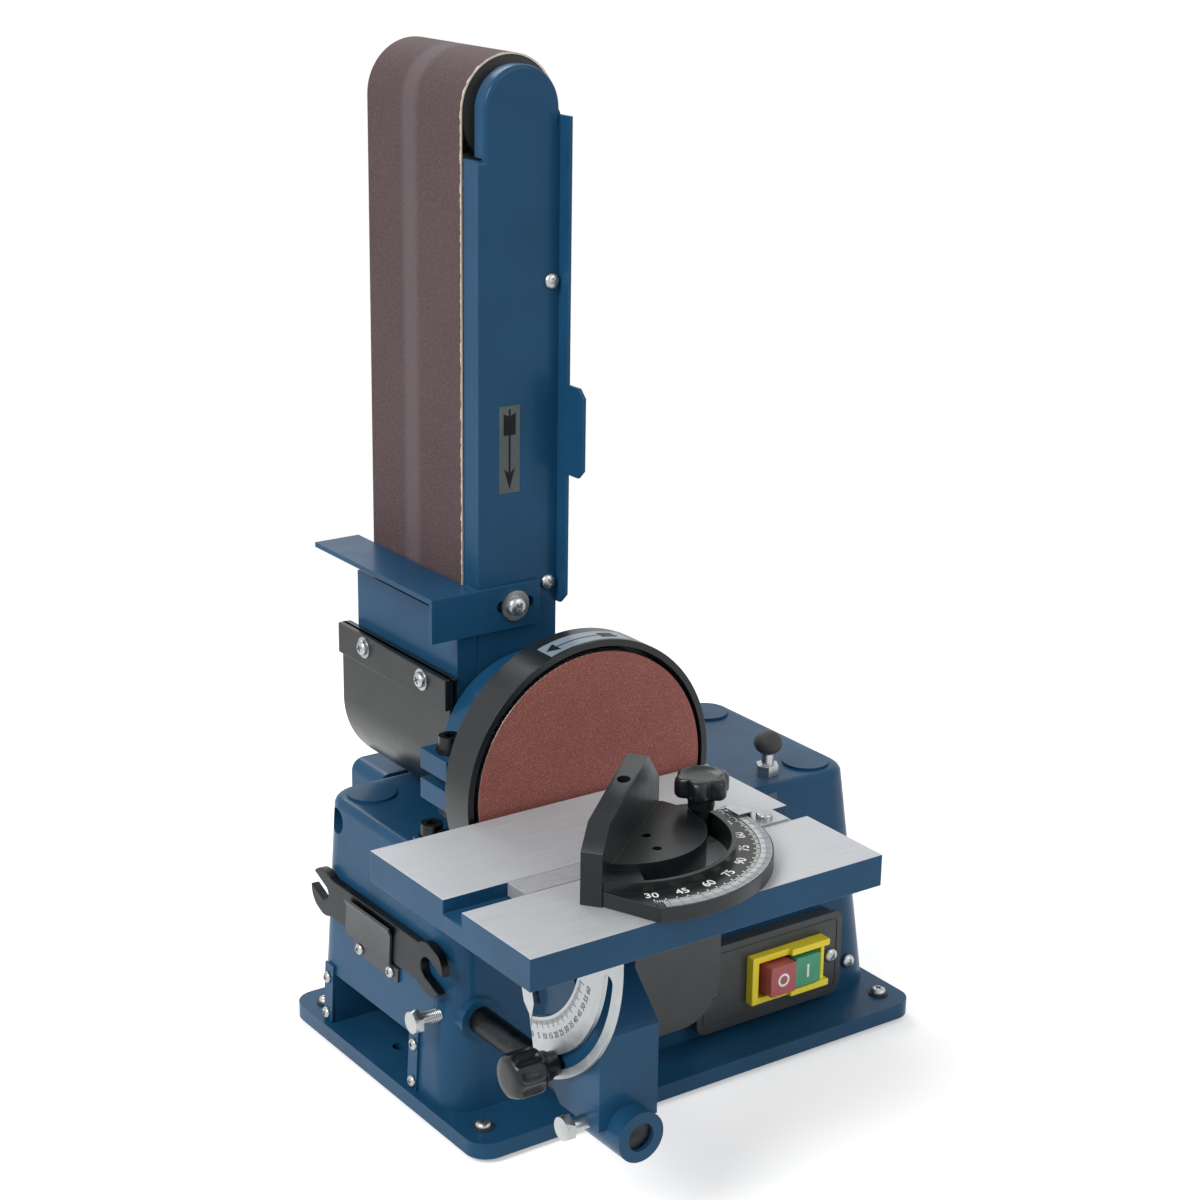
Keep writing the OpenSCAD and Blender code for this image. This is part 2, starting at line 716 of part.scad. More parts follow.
module chute_outline(in) {
    translate([-44 + in, 60]) square([64 - 2 * in, 92 - in]);
    translate([-44 + in, 34 + in]) square([36, 40]);
    translate([-8, 62]) circle(28 - in);
}

// Bumper for the lowered arm

module stop_stud() color(zinc) translate([stop_x, stop_y, house_z]) {
    translate([0, 0, -15]) cylinder(h = 15 + 12, r = 4);
    difference() {
        cylinder(h = 7, r = 7.5, $fn = 6);
        translate([0, 0, -1]) cylinder(h = 9, r = 4 - 0.05);
    }
}

module stop_bumper() color(black) translate([stop_x, stop_y, house_z + 12]) {
    ball_z = stop_top - house_z - 12 - ball_r;
    cylinder(h = ball_z, r = 6);
    intersection() {
        cylinder(h = 60, r = ball_r + 1);
        translate([0, 0, ball_z]) sphere(ball_r);
    }
}

// Belt arm

module arm_outline() {
    translate([plate_x0, shaft_z]) square([plate_x1 - plate_x0, idler_z - shaft_z - 24]);
    translate([dome_x - dome_r, idler_z - 40]) square([2 * dome_r, 40]);
    translate([dome_x, idler_z + 1.5]) circle(dome_r);
    translate([shaft_x, shaft_z]) circle(arm_boss_r + 1);
}

module dome_outline(in) {
    translate([dome_x, idler_z + 1.5]) circle(dome_r - in);
    translate([dome_x - dome_r + in, idler_z - 24]) square([2 * (dome_r - in), 25.5]);
}

// Pressed arm: front plate, bent left wall, back plate and the turned boss
module arm_frame() color(blue) difference() {
    union() {
        in_xz(arm_y0, arm_y0 + arm_t) arm_outline();
        // back plate with the slot for the tension fork
        in_xz(arm_back_y, arm_back_y + arm_t) difference() {
            union() {
                translate([plate_x0 + 6, shaft_z]) square([plate_x1 - plate_x0 - 10, belt_centres + 4]);
                translate([shaft_x, idler_z + 4]) circle(20);
                translate([shaft_x, shaft_z]) circle(27);
            }
            translate([shaft_x, idler_z - 34]) rotate(90) round_slot(94, 2 * axle_r + 0.6);
        }
        // turned edge round the dome
        in_xz(arm_y0, arm_y0 + dome_edge) difference() {
            dome_outline(0);
            dome_outline(arm_t);
            translate([dome_x - dome_r, idler_z - 26]) square([2 * dome_r, 3]);
        }
        // left wall in front of the belt's edge
        translate([plate_x0, arm_y0 + 0.5, shaft_z + 62]) cube([arm_t, belt_y0 - arm_y0 - 1.3, belt_centres - 86]);
        // ribs that join the plates inside the belt
        for (z = [62, 190, 275])
            translate([platen_x0 + platen_t + 0.1, arm_y0 + 1, shaft_z + z])
                cube([-60 - platen_x0 - platen_t, arm_back_y - arm_y0, 4]);
        // boss in the collar
        y_rod(shaft_x, shaft_z, collar_y0 + 7, arm_y0 + 1, arm_boss_r);
    }
    y_rod(shaft_x, shaft_z, collar_y0, arm_y0 + 10, 17.5 + 0.02);
    y_rod(shaft_x, shaft_z, arm_back_y - 1, arm_back_y + 10, shaft_d / 2 + 3);
    // guide of the fork's stem, pivot of the lever
    translate([shaft_x, 40, shaft_z + 270]) cylinder(h = 14, r = 6 + fit);
    y_rod(shaft_x, lever_z, arm_back_y - 1, arm_back_y + 10, 5 + fit);
    arm_screw_at() translate([0, 0, -9]) cylinder(h = 20, r = 2.5 + seat, $fn = 24);
    translate([stop_bolt_x, arm_y0 - 1, stop_bolt_z]) to_back() cylinder(h = 10, r = 3 + seat);
}

// Flat plate behind the working run of the belt
module platen() color(steel) translate([platen_x0, belt_y0 + 2, shaft_z + 66])
    cube([platen_t, belt_w - 4, belt_centres - 110]);

// Flat strip beside the arm with the lug that meets the bumper
module stop_plate() color(blue) in_yz(stop_plate_x0, stop_plate_x1)
    polygon([[-28, 296], [-12, 296], [-12, 575], [-34, 575], [-34, 426], [-45, 426], [-50, 421], [-50, 379],
        [-45, 374], [-34, 374], [-34, 302]]);

module arm_screw_at() {
    translate([plate_x1 - 5, arm_y0, 484]) to_front() children();
    translate([plate_x1 - 6, arm_y0, 309]) to_front() children();
}
module guard_screw_at() {
    for (y = [0, 66]) translate([guard_x, y, 255]) to_left() children();
}

module arm_screws() color(zinc) {
    arm_screw_at() pan_screw(5, 6);
    guard_screw_at() { washer(5, 13, 1); translate([0, 0, 1]) pan_screw(5, 11); }
}

// Blue cover in front of the lower drum
module lower_cover() color(blue) difference() {
    union() {
        translate([cover_x, arm_y0 + 0.5, shaft_z + 20]) cube([11, belt_w + 13, 62]);
        translate([cover_x, arm_y0 + 0.5, shaft_z + 20]) cube([plate_x0 - cover_x - 0.3, 2, 62]);
    }
    translate([cover_x + 2, arm_y0 + 2.5, shaft_z + 19]) cube([40, belt_w + 9, 64]);
    y_rod(shaft_x, shaft_z, arm_y0 - 1, arm_y0 + arm_t + run, arm_boss_r + 1 + run);
    guard_screw_at() translate([0, 0, -20]) cylinder(h = 30, r = 2.5 + seat, $fn = 24);
}

// Black guard under the lower drum
module guard_outline(r) {
    intersection() {
        translate([shaft_x, shaft_z]) circle(r);
        translate([shaft_x - 80, shaft_z - 80]) square([80, 80]);
    }
}
module drum_guard() color(black) difference() {
    union() {
        in_xz(collar_y1 + 1, 98) difference() {
            union() {
                guard_outline(guard_r);
                translate([guard_x, shaft_z - 0.1]) square([20, 48]);
            }
            guard_outline(guard_r - 2);
            translate([guard_x + 2, shaft_z - 1]) square([40, 60]);
        }
        // stand-offs behind the two screws
        guard_screw_at() translate([0, 0, guard_x - cover_x + 0.1]) cylinder(h = cover_x - guard_x - 1, r = 6, $fn = 32);
    }
    guard_screw_at() translate([0, 0, -20]) cylinder(h = 30, r = 2.5 + seat, $fn = 24);
}

module belt_outline(r) {
    translate([shaft_x, shaft_z]) circle(r, $fn = 96);
    translate([shaft_x, idler_z]) circle(r, $fn = 96);
    translate([shaft_x - r, shaft_z]) square([2 * r, belt_centres]);
}

module sanding_belt() color([0.38, 0.30, 0.30]) in_xz(belt_y0, belt_y1) difference() {
    belt_outline(belt_r);
    belt_outline(belt_in_r);
}

// Ball bearings of the spindle
module bearings() color(steel) for (y = [-62, -38]) difference() {
    y_rod(shaft_x, shaft_z, y, y + 11, 17.5);
    y_rod(shaft_x, shaft_z, y - 1, y + 12, shaft_d / 2 + fit);
}

// Work stop

module work_stop() color(blue) difference() {
    union() {
        translate([shaft_x - belt_r - 2 - stop_reach, stop_y0, stop_z - arm_t])
            cube([stop_reach, belt_y1 - stop_y0 + 15, arm_t]);
        translate([shaft_x - belt_r - 2 - stop_reach, stop_y0, stop_z - 26])
            cube([leg_x1 - (shaft_x - belt_r - 2 - stop_reach), arm_t, 26]);
    }
    translate([stop_bolt_x + 1, arm_y0 + 1, stop_bolt_z]) rotate([90, 0, 0])
        linear_extrude(6) round_slot(7 + 2 * stop_travel + 2, 7);
}

module stop_bolt() color(zinc) translate([stop_bolt_x, stop_y0 - run, stop_bolt_z]) to_front() {
    washer(6, 18, 1.6);
    translate([0, 0, 1.6]) hex_bolt(6, 9, 10);
}

// Spindle

module spindle_shaft() color(steel) {
    y_rod(shaft_x, shaft_z, disc_y + paper_t + disc_t - 3, 114, shaft_d / 2);
}

module disc_plate() color(steel) {
    difference() {
        union() {
            y_rod(shaft_x, shaft_z, disc_y + paper_t, disc_y + paper_t + disc_t, disc_d / 2);
            y_rod(shaft_x, shaft_z, disc_y + paper_t + disc_t - 1, -68, 22);
        }
        y_rod(shaft_x, shaft_z, disc_y + paper_t + disc_t - 3, -60, shaft_d / 2);
    }
}

module abrasive_disc() color([0.51, 0.28, 0.29]) y_rod(shaft_x, shaft_z, disc_y, disc_y + paper_t, disc_d / 2);

module drive_drum() color(black) difference() {
    y_rod(shaft_x, shaft_z, belt_y0 + 0.5, belt_y1 - 0.5, drum_r);
    y_rod(shaft_x, shaft_z, belt_y0, belt_y1, shaft_d / 2);
}

module spindle_pulley() color(steel) difference() {
    pulley(shaft_x, shaft_z);
    y_rod(shaft_x, shaft_z, 90, 120, shaft_d / 2);
}

// Idler

module idler_drum() color(black) difference() {
    y_rod(shaft_x, idler_z, belt_y0 + 0.5, belt_y1 - 0.5, drum_r);
    y_rod(shaft_x, idler_z, belt_y0, belt_y1, axle_r + fit);
}

module idler_axle() color(steel)
    y_rod(shaft_x, idler_z, arm_y0 + arm_t + 2, fork_y + fork_t + 2, axle_r);

// Block that carries the axle and slides behind the arm's back plate
module tension_fork() color(steel) difference() {
    union() {
        // front leg, back leg and the bridge between them inside the belt
        translate([shaft_x - 11, arm_y0 + arm_t + 3, fork_z]) cube([22, 5, 78]);
        translate([shaft_x - 14, fork_y, lever_z + cam_off + cam_r + 1.2]) cube([28, fork_t, idler_z + 14.8 - lever_z - cam_off - cam_r]);
        translate([shaft_x - axle_r, arm_y0 + arm_t + 4, fork_z]) cube([2 * axle_r, fork_y - arm_y0 - arm_t - 2, 16]);
        // stem that slides in the arm's upper rib
        translate([shaft_x, 40, fork_z - 46]) cylinder(h = 48, r = 6);
    }
    y_rod(shaft_x, idler_z, arm_y0, fork_y + 20, axle_r);
    y_rod(shaft_x, idler_z - 24, fork_y - 1, fork_y + 20, 4 + fit);
}

module tension_lever() color(black) {
    y_rod(shaft_x, lever_z, arm_back_y - 0.5, fork_y + 2, 5);
    y_rod(shaft_x, lever_z + cam_off, fork_y, fork_y + fork_t, cam_r);
    in_xz(fork_y + fork_t - 0.5, fork_y + fork_t + 7) translate([shaft_x + 32, lever_z]) round_slot(84, 18);
}

module tracking_knob() color(black) {
    y_rod(shaft_x, idler_z - 24, fork_y + 0.5, fork_y + fork_t + 8, 4);
    in_xz(fork_y + fork_t + run, fork_y + fork_t + 16) translate([shaft_x, idler_z - 24]) difference() {
        circle(13);
        for (a = [0:60:300]) rotate(a) translate([15, 0]) circle(4, $fn = 24);
    }
}

// Table

module table_rod() color(black) y_rod(rod_x, rod_z, rod_y0, rod_y0 + rod_l, rod_d / 2);

module table_bracket() color(blue) difference() {
    union() {
        in_yz(bracket_x0, bracket_x1) {
            polygon([[-216, 72], [-216, 126], [-166, 176], [pivot_y - 6, pivot_z + 8], [pivot_y + 8, pivot_z - 8],
                [-164, 132], [-164, 88], [-180, 72]]);
            translate([pivot_y, pivot_z]) circle(12);
        }
        y_rod(rod_x, rod_z, rod_y0 - 3, -190, rod_d / 2 + 6.5);
    }
    y_rod(rod_x, rod_z, rod_y0 - 4, -160, rod_d / 2 + fit);
    translate([bracket_x0 - 1, pivot_y, pivot_z]) to_right() cylinder(h = bracket_w + 2, r = pivot_r + seat);
    translate([bracket_x0 - 1, -203, rod_z + 4]) to_right() cylinder(h = 12, r = 4 + seat);
    translate([bracket_x0 - 1, tilt_bolt_y, tilt_bolt_z]) to_right() cylinder(h = 30, r = 3 + fit);
}

module bracket_bolts() color(zinc) {
    translate([bracket_x0 - 10, -203, rod_z + 4]) to_left() hex_bolt(8, 19, 13);
    // pivot of the table, with its nut
    translate([bracket_x0 - lug_t - 2 * run, pivot_y, pivot_z]) {
        to_left() hex_bolt(2 * pivot_r, bracket_w + 2 * lug_t + 4 * run + 8, 16);
        translate([bracket_w + 2 * lug_t + 4 * run, 0, 0]) to_right() cylinder(h = 7, r = 9, $fn = 6);
    }
}

module tilt_pointer() color(steel) {
    in_yz(bracket_x0 - 4.8, bracket_x0 - 4.2)
        translate([pivot_y, pivot_z]) rotate(-90 - 15.8) polygon([[44, -5], [44, 5], [52, 5], [61, 0], [52, -5]]);
    in_yz(bracket_x0 - 4.5, bracket_x0 - 0.05)
        translate([pivot_y, pivot_z]) rotate(-90 - 15.8) translate([44, -4]) square([9, 8]);
}

module table() color([0.75, 0.75, 0.77]) difference() {
    union() {
        difference() {
            translate([table_x0, table_y0, table_z - table_rim]) cube([table_w, table_d, table_rim]);
            translate([table_x0 + 5, table_y0 + 5, table_z - table_rim - 1])
                cube([table_w - 10, table_d - 10, table_rim - table_t + 1]);
        }
        translate([table_x0 + 1, slot_y0 - 3, table_z - slot_depth - 3]) cube([table_w - 2, slot_w + 6, slot_depth + 2]);
        for (x = [bracket_x0 - run - lug_t, bracket_x1 + run])
            in_yz(x, x + lug_t) {
                translate([pivot_y - 12, pivot_z]) square([24, table_under - pivot_z + 1]);
                translate([pivot_y, pivot_z]) circle(12);
            }
    }
    translate([table_x0 - 1, slot_y0, table_z - slot_depth]) cube([table_w + 2, slot_w, slot_depth + 1]);
    translate([bracket_x0 - 20, pivot_y, pivot_z]) to_right() cylinder(h = 80, r = pivot_r + fit);
}

module ring_sector(r0, r1, a0, a1) {
    difference() {
        intersection() {
            circle(r1, $fn = 96);
            polygon([[0, 0], for (i = [0:6]) 2 * r1 * [-sin(a0 + (a1 - a0) * i / 6), -cos(a0 + (a1 - a0) * i / 6)]]);
        }
        circle(r0, $fn = 96);
    }
}

module tilt_quadrant() color([0.85, 0.85, 0.85])
    in_yz(bracket_x0 - run - 3, bracket_x0 - run) translate([pivot_y, pivot_z]) difference() {
        union() {
            ring_sector(60, 94, 12, 96);
            translate([-94, 0]) square([34, table_under - pivot_z]);
        }
        ring_sector(tilt_r - 4, tilt_r + 4, tilt_a - 1, tilt_a + 58);
        for (a = [tilt_a - 1, tilt_a + 58]) translate(tilt_r * [-sin(a), -cos(a)]) circle(4);
    }

module tilt_knob() color(black) translate([bracket_x0 - run - 3 - run, tilt_bolt_y, tilt_bolt_z]) to_left() {
    translate([0, 0, -20]) cylinder(h = 21, r = 3);
    cylinder(h = 12, r = 7);
    translate([0, 0, 11]) linear_extrude(20) difference() {
        circle(13);
        for (a = [0:45:315]) rotate(a) translate([14.6, 0]) circle(3.4, $fn = 24);
    }
}

// Mitre gauge

module mitre_bar() color(steel) {
    difference() {
        translate([bar_x0, slot_y0 + run, table_z - bar_t]) cube([bar_l, slot_w - 2 * run, bar_t]);
        translate([mitre_x + mitre_slot_r, mitre_y, table_z - bar_t - 1]) cylinder(h = bar_t + 2, r = 4 + fit);
        translate([-24, mitre_y, table_z - 5]) cylinder(h = 10, r = 2.5, $fn = 32);
    }
    // pin the head turns on
    translate([mitre_x, mitre_y, table_z - 1]) cylinder(h = 14, r = 3);
}

module mitre_pointer() color(steel) {
    translate([0, mitre_y + 6, table_z + 0.02]) rotate([90, 0, 0]) linear_extrude(12)
        polygon([[-13, 0], [-37, 0], [-38.6, 9.8], [-47, 9.8], [-47, 10.6], [-37.8, 10.6], [-36, 1.2], [-13, 1.2]]);
    translate([-34, mitre_y - 8, table_z + 0.02]) cube([21, 16, 1.2]);
    translate([-24, mitre_y, table_z + 1.22]) pan_screw(5, 5);
}

module mitre_head() color(black) translate([mitre_x, mitre_y, table_z + run]) rotate(mitre_a) difference() {
    union() {
        // fence
        in_yz(fence_x0, fence_x0 + fence_t)
            polygon([[-61, 0], [-61, 29], [-49, 41], [20, 52], [43, 31], [43, 0]]);
        // flange of the scale
        linear_extrude(8) mitre_base();
        // wall inside the scale and the raised middle
        linear_extrude(13.5) intersection() {
            mitre_base();
            circle(60);
        }
        linear_extrude(17) intersection() {
            mitre_base();
            circle(44.5);
        }
    }
    // curved slot for the clamping stud
    translate([0, 0, -1]) linear_extrude(30) intersection() {
        difference() {
            circle(57.5);
            circle(44.5);
        }
        polygon([[0, 0], [100, -188], [300, 0], [100, 188]]);
    }
    translate([0, 0, -1]) cylinder(h = 14.5, r = 3 + fit);
    // holes in the raised middle and in the top of the fence
    translate([24, -18, 9]) cylinder(h = 20, r = 2.5, $fn = 32);
    translate([14, -4, 9]) cylinder(h = 20, r = 2.5, $fn = 32);
    translate([fence_x0 + fence_t / 2, -6, 34]) cylinder(h = 30, r = 3.5, $fn = 32);
}

module mitre_base() {
    intersection() {
        circle(mitre_r, $fn = 128);
        polygon([[fence_x0 + 1, -60], [8, -60], [46, -70], [90, -70], [90, 70], [46, 70], [8, 43], [fence_x0 + 1, 43]]);
    }
}

module mitre_scale() color("white") translate([mitre_x, mitre_y, table_z + run + 8]) rotate(mitre_a)
    linear_extrude(0.4) intersection() {
        difference() {
            circle(mitre_r - 1, $fn = 128);
            circle(mitre_r - 7, $fn = 128);
        }
        polygon([[0, 0], [120, -185], [300, 0], [120, 185]]);
    }

module mitre_knob() color(black) translate([mitre_x + mitre_slot_r, mitre_y, table_z]) {
    translate([0, 0, 1 - bar_t]) cylinder(h = 20 + bar_t, r = 4);
    translate([0, 0, 17.6]) cylinder(h = 9, r = 7.6);
    translate([0, 0, 25]) linear_extrude(12) difference() {
        circle(15.5);
        for (a = [15:60:315]) rotate(a) translate([19, 0]) circle(5.5, $fn = 32);
    }
}

base_plate();
rubber_feet();
foot_washers();
foot_screws();
housing();
side_brackets();
side_screws();
spanner_clip();
spanner();
rod_clamp_bolt();
switch_panel();
panel_screws();
switch_frame();
off_button();
on_button();
drive_cover();
cover_screws();
motor();
motor_rotor();
drive_belt();
pedestal();
pedestal_screws();
clamp_screw();
disc_guard();
dust_chute();
disc_guard_screws();
stop_stud();
stop_bumper();
arm_frame();
platen();
stop_plate();
arm_screws();
lower_cover();
drum_guard();
sanding_belt();
bearings();
stop_bolt();
spindle_shaft();
disc_plate();
abrasive_disc();
drive_drum();
spindle_pulley();
idler_drum();
tension_fork();
idler_axle();
tension_lever();
tracking_knob();
work_stop();
table_rod();
table_bracket();
bracket_bolts();
tilt_pointer();
table();
tilt_quadrant();
tilt_knob();
mitre_bar();
mitre_pointer();
mitre_head();
mitre_scale();
mitre_knob();
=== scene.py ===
# %% [markdown]
# # A benchtop belt and disc sander
# The solids come from the CAD model, with their sizes and joints. This script gives them
# their finish: softened edges, real screws and knobs, abrasive, paint and plastic. It also
# sets up the light and the camera of a catalogue picture.

# %% Load the solids
import json
import math

import bmesh
import bpy
from mathutils import Matrix, Vector


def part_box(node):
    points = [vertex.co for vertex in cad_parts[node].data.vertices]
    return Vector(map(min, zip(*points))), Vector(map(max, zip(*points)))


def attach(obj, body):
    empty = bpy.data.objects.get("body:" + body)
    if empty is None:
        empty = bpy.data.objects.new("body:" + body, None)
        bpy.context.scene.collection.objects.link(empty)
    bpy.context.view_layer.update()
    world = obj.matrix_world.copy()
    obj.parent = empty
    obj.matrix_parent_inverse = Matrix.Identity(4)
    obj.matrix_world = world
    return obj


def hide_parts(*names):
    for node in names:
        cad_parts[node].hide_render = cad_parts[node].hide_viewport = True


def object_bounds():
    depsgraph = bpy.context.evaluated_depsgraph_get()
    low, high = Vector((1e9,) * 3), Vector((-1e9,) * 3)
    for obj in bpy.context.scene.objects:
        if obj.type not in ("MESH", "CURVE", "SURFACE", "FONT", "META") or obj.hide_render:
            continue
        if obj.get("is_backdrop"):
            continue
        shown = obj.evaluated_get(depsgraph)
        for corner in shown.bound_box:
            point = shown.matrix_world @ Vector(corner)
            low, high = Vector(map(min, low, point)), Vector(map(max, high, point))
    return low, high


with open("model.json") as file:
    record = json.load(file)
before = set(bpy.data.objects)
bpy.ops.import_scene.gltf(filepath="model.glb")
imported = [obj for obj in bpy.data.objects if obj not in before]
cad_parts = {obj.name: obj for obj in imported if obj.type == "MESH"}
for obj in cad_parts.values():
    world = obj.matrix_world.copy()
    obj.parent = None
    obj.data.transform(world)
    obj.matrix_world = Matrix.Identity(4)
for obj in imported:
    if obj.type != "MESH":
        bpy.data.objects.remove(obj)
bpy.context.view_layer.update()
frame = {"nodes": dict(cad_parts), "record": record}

# %% [markdown]
# ## Camera
# A catalogue picture of a tool is taken from a little above, with a long lens, so that the
# upright lines stay nearly upright. The place, the turn and the lens were worked out from
# edges of known length, so they are written as real distances and angles.

# %% Camera
MM = 0.001
CAMERA_AT = Vector((-820.4, -1144.4, 741.7)) * MM
AZIMUTH = math.radians(-35.40)
ELEVATION = math.radians(18.13)
ROLL = math.radians(0.88)
SENSOR = 36.0
LENS = 73.74
PHOTO = 1200
CENTRE_PX = (601.35, 598.14)


def linked(name, data):
    """An object in the scene for a lamp, a camera, a curve or a mesh."""
    obj = bpy.data.objects.new(name, data)
    bpy.context.scene.collection.objects.link(obj)
    return obj


def camera_turn():
    """The camera's turn from its azimuth, elevation and roll."""
    right = Vector((math.cos(AZIMUTH), math.sin(AZIMUTH), 0))
    back = Vector((math.sin(AZIMUTH) * math.cos(ELEVATION),
                   -math.cos(AZIMUTH) * math.cos(ELEVATION), math.sin(ELEVATION)))
    up = back.cross(right)
    rolled_right = right * math.cos(ROLL) + up * math.sin(ROLL)
    rolled_up = up * math.cos(ROLL) - right * math.sin(ROLL)
    return Matrix((rolled_right, rolled_up, back)).transposed()


scene = bpy.context.scene
lens = bpy.data.cameras.new("camera")
lens.sensor_width = SENSOR
lens.lens = LENS
lens.shift_x = (PHOTO / 2 - CENTRE_PX[0]) / PHOTO
lens.shift_y = (CENTRE_PX[1] - PHOTO / 2) / PHOTO
lens.clip_start = 0.05
camera = linked("camera", lens)
camera.matrix_world = Matrix.Translation(CAMERA_AT) @ camera_turn().to_4x4()
scene.camera = camera
print("camera", [round(v, 3) for v in CAMERA_AT], "lens", LENS)

# %% [markdown]
# ## Lamps
# One large soft lamp over the left shoulder gives the shapes their shading, a weaker one from
# the right opens the shadows, and a third one from behind lights the upper edges. A sun would
# be simpler, but its shadows have hard edges, so the lamps are wide discs.

# %% Lamps
LAMP_AIM = Vector((-0.03, -0.06, 0.28))


def soft_lamp(name, at, size, watts):
    """A round lamp aimed at the middle of the machine."""
    data = bpy.data.lights.new(name, "AREA")
    data.shape = "DISK"
    data.size = size
    data.energy = watts
    lamp = linked(name, data)
    lamp.location = at
    lamp.rotation_euler = (LAMP_AIM - Vector(at)).to_track_quat("-Z", "Y").to_euler()


soft_lamp("key lamp", (-2.1, -0.5, 1.9), 1.3, 52)
soft_lamp("fill lamp", (0.9, -2.1, 1.5), 1.6, 12)
soft_lamp("rim lamp", (0.4, 1.8, 1.9), 1.2, 16)
print("lamps:", len(bpy.data.lights))

# %% [markdown]
# ## White world
# A catalogue picture stands on pure white. A world as bright as that would also wash out all
# shadows, so it's only white for the camera and for reflections, and gives the object a dim
# even fill. A light path node tells the kinds of ray apart.

# %% White world
def add(tree, kind, links=(), **settings):
    """Add one node. Settings named after a socket set the socket, links are (socket, output)."""
    node = tree.nodes.new(kind)
    for key, value in settings.items():
        if hasattr(node, key):
            setattr(node, key, value)
        else:
            node.inputs[key.replace("_", " ")].default_value = value
    for socket, output in links:
        tree.links.new(output, node.inputs[socket])
    return node


def math_node(tree, operation, *values):
    """Output of a math node whose sockets are linked to outputs or set to numbers."""
    node = add(tree, "ShaderNodeMath", operation=operation)
    for socket, value in zip(node.inputs, values):
        if isinstance(value, (int, float)):
            socket.default_value = value
        else:
            tree.links.new(value, socket)
    return node.outputs[0]


def white_for_eye(tree):
    """1 for the camera's, glossy and transmission rays, and 0 for the rest."""
    path = add(tree, "ShaderNodeLightPath")
    seen = path.outputs["Is Camera Ray"]
    for ray in ("Is Glossy Ray", "Is Transmission Ray"):
        seen = math_node(tree, "MAXIMUM", seen, path.outputs[ray])
    return seen


world = bpy.data.worlds.new("studio")
scene.world = world
world.use_nodes = True
tree = world.node_tree
tree.nodes.clear()
eye = white_for_eye(tree)
WORLD_FILL = 0.55
strength = add(tree, "ShaderNodeMapRange", links=[("Value", eye)], To_Min=WORLD_FILL, To_Max=1.0)
sky = add(tree, "ShaderNodeBackground", links=[("Strength", strength.outputs["Result"])],
          Color=(1, 1, 1, 1))
add(tree, "ShaderNodeOutputWorld", links=[("Surface", sky.outputs[0])])
scene.view_settings.view_transform = "Standard"
print("world fill:", WORLD_FILL)

# %% [markdown]
# ## Floor
# The floor only has to catch the shadow. It's a wide plane that fades into the white world
# before its edge, so that no horizon shows. A shadow catcher would do the same, but it
# needs a picture to be laid over another one afterwards.

# %% Floor
FLOOR_SIZE = 3.2
FLOOR_DROP = 0.2 * MM
FLOOR_GREY = 0.93
FLOOR_GLOW = 0.36
FADE_FROM = 0.45
FADE_TO = 1.0
bpy.ops.mesh.primitive_plane_add(size=FLOOR_SIZE, location=(0, 0, -FLOOR_DROP))
floor = bpy.context.object
floor.name = "floor"
pale = bpy.data.materials.new("pale studio floor")
pale.use_nodes = True
floor.data.materials.append(pale)
tree = pale.node_tree
tree.nodes.clear()
matt = add(tree, "ShaderNodeBsdfDiffuse", Color=(FLOOR_GREY, FLOOR_GREY, FLOOR_GREY, 1))
glow = add(tree, "ShaderNodeEmission", Color=(1, 1, 1, 1), Strength=FLOOR_GLOW)
both = add(tree, "ShaderNodeAddShader", links=[(0, matt.outputs[0]), (1, glow.outputs[0])])
eye = white_for_eye(tree)
pick = add(tree, "ShaderNodeMixShader",
           links=[("Fac", eye), (1, matt.outputs[0]), (2, both.outputs[0])])
where = add(tree, "ShaderNodeTexCoord").outputs["Object"]
away = add(tree, "ShaderNodeVectorMath", operation="LENGTH", links=[(0, where)]).outputs["Value"]
fade = add(tree, "ShaderNodeMapRange", links=[("Value", away)], interpolation_type="SMOOTHSTEP",
           From_Min=FADE_FROM, From_Max=FADE_TO).outputs["Result"]
clear = add(tree, "ShaderNodeBsdfTransparent")
faded = add(tree, "ShaderNodeMixShader",
            links=[("Fac", fade), (1, pick.outputs[0]), (2, clear.outputs[0])])
add(tree, "ShaderNodeOutputMaterial", links=[("Surface", faded.outputs[0])])
floor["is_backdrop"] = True
print("floor:", FLOOR_SIZE, "m wide")

# %% [markdown]
# ## Finishes
# Colours are written as the hex values seen on a screen, and one function turns them into
# the linear values that the shader works with. Every pattern reads the piece's own object
# coordinates, so its size is given in millimetres and it stays put when the piece moves.
# Roughness, shine and the like start from what the real finish usually has, and were then
# matched to the look of this machine.

# %% Colour and shader helpers
def linear(code, alpha=1.0):
    """A hex colour in the shader's linear values."""
    parts = [int(code[i:i + 2], 16) / 255 for i in (1, 3, 5)]
    return [c / 12.92 if c <= 0.04045 else ((c + 0.055) / 1.055) ** 2.4 for c in parts] + [alpha]


def start(name):
    """A new material with one shader and object coordinates."""
    mat = bpy.data.materials.new(name)
    mat.use_nodes = True
    tree = mat.node_tree
    tree.nodes.clear()
    shader = add(tree, "ShaderNodeBsdfPrincipled")
    add(tree, "ShaderNodeOutputMaterial", links=[("Surface", shader.outputs[0])])
    where = add(tree, "ShaderNodeTexCoord").outputs["Object"]
    return mat, tree, shader, where


def noise(tree, where, size_mm, detail=3.0, stretch=None):
    """Noise whose blotches are about size_mm wide. Stretch scales the three directions."""
    if stretch:
        where = add(tree, "ShaderNodeMapping", links=[("Vector", where)], Scale=stretch).outputs[0]
    return add(tree, "ShaderNodeTexNoise", links=[("Vector", where)], Scale=1000 / size_mm,
               Detail=detail).outputs["Fac"]


def ramp(tree, value, stops):
    """Colours along a value, as (place, hex) pairs."""
    node = add(tree, "ShaderNodeValToRGB", links=[("Fac", value)])
    band = node.color_ramp
    while len(band.elements) < len(stops):
        band.elements.new(0.5)
    for element, (at, code) in zip(band.elements, stops):
        element.position = at
        element.color = linear(code)
    return node.outputs["Color"]


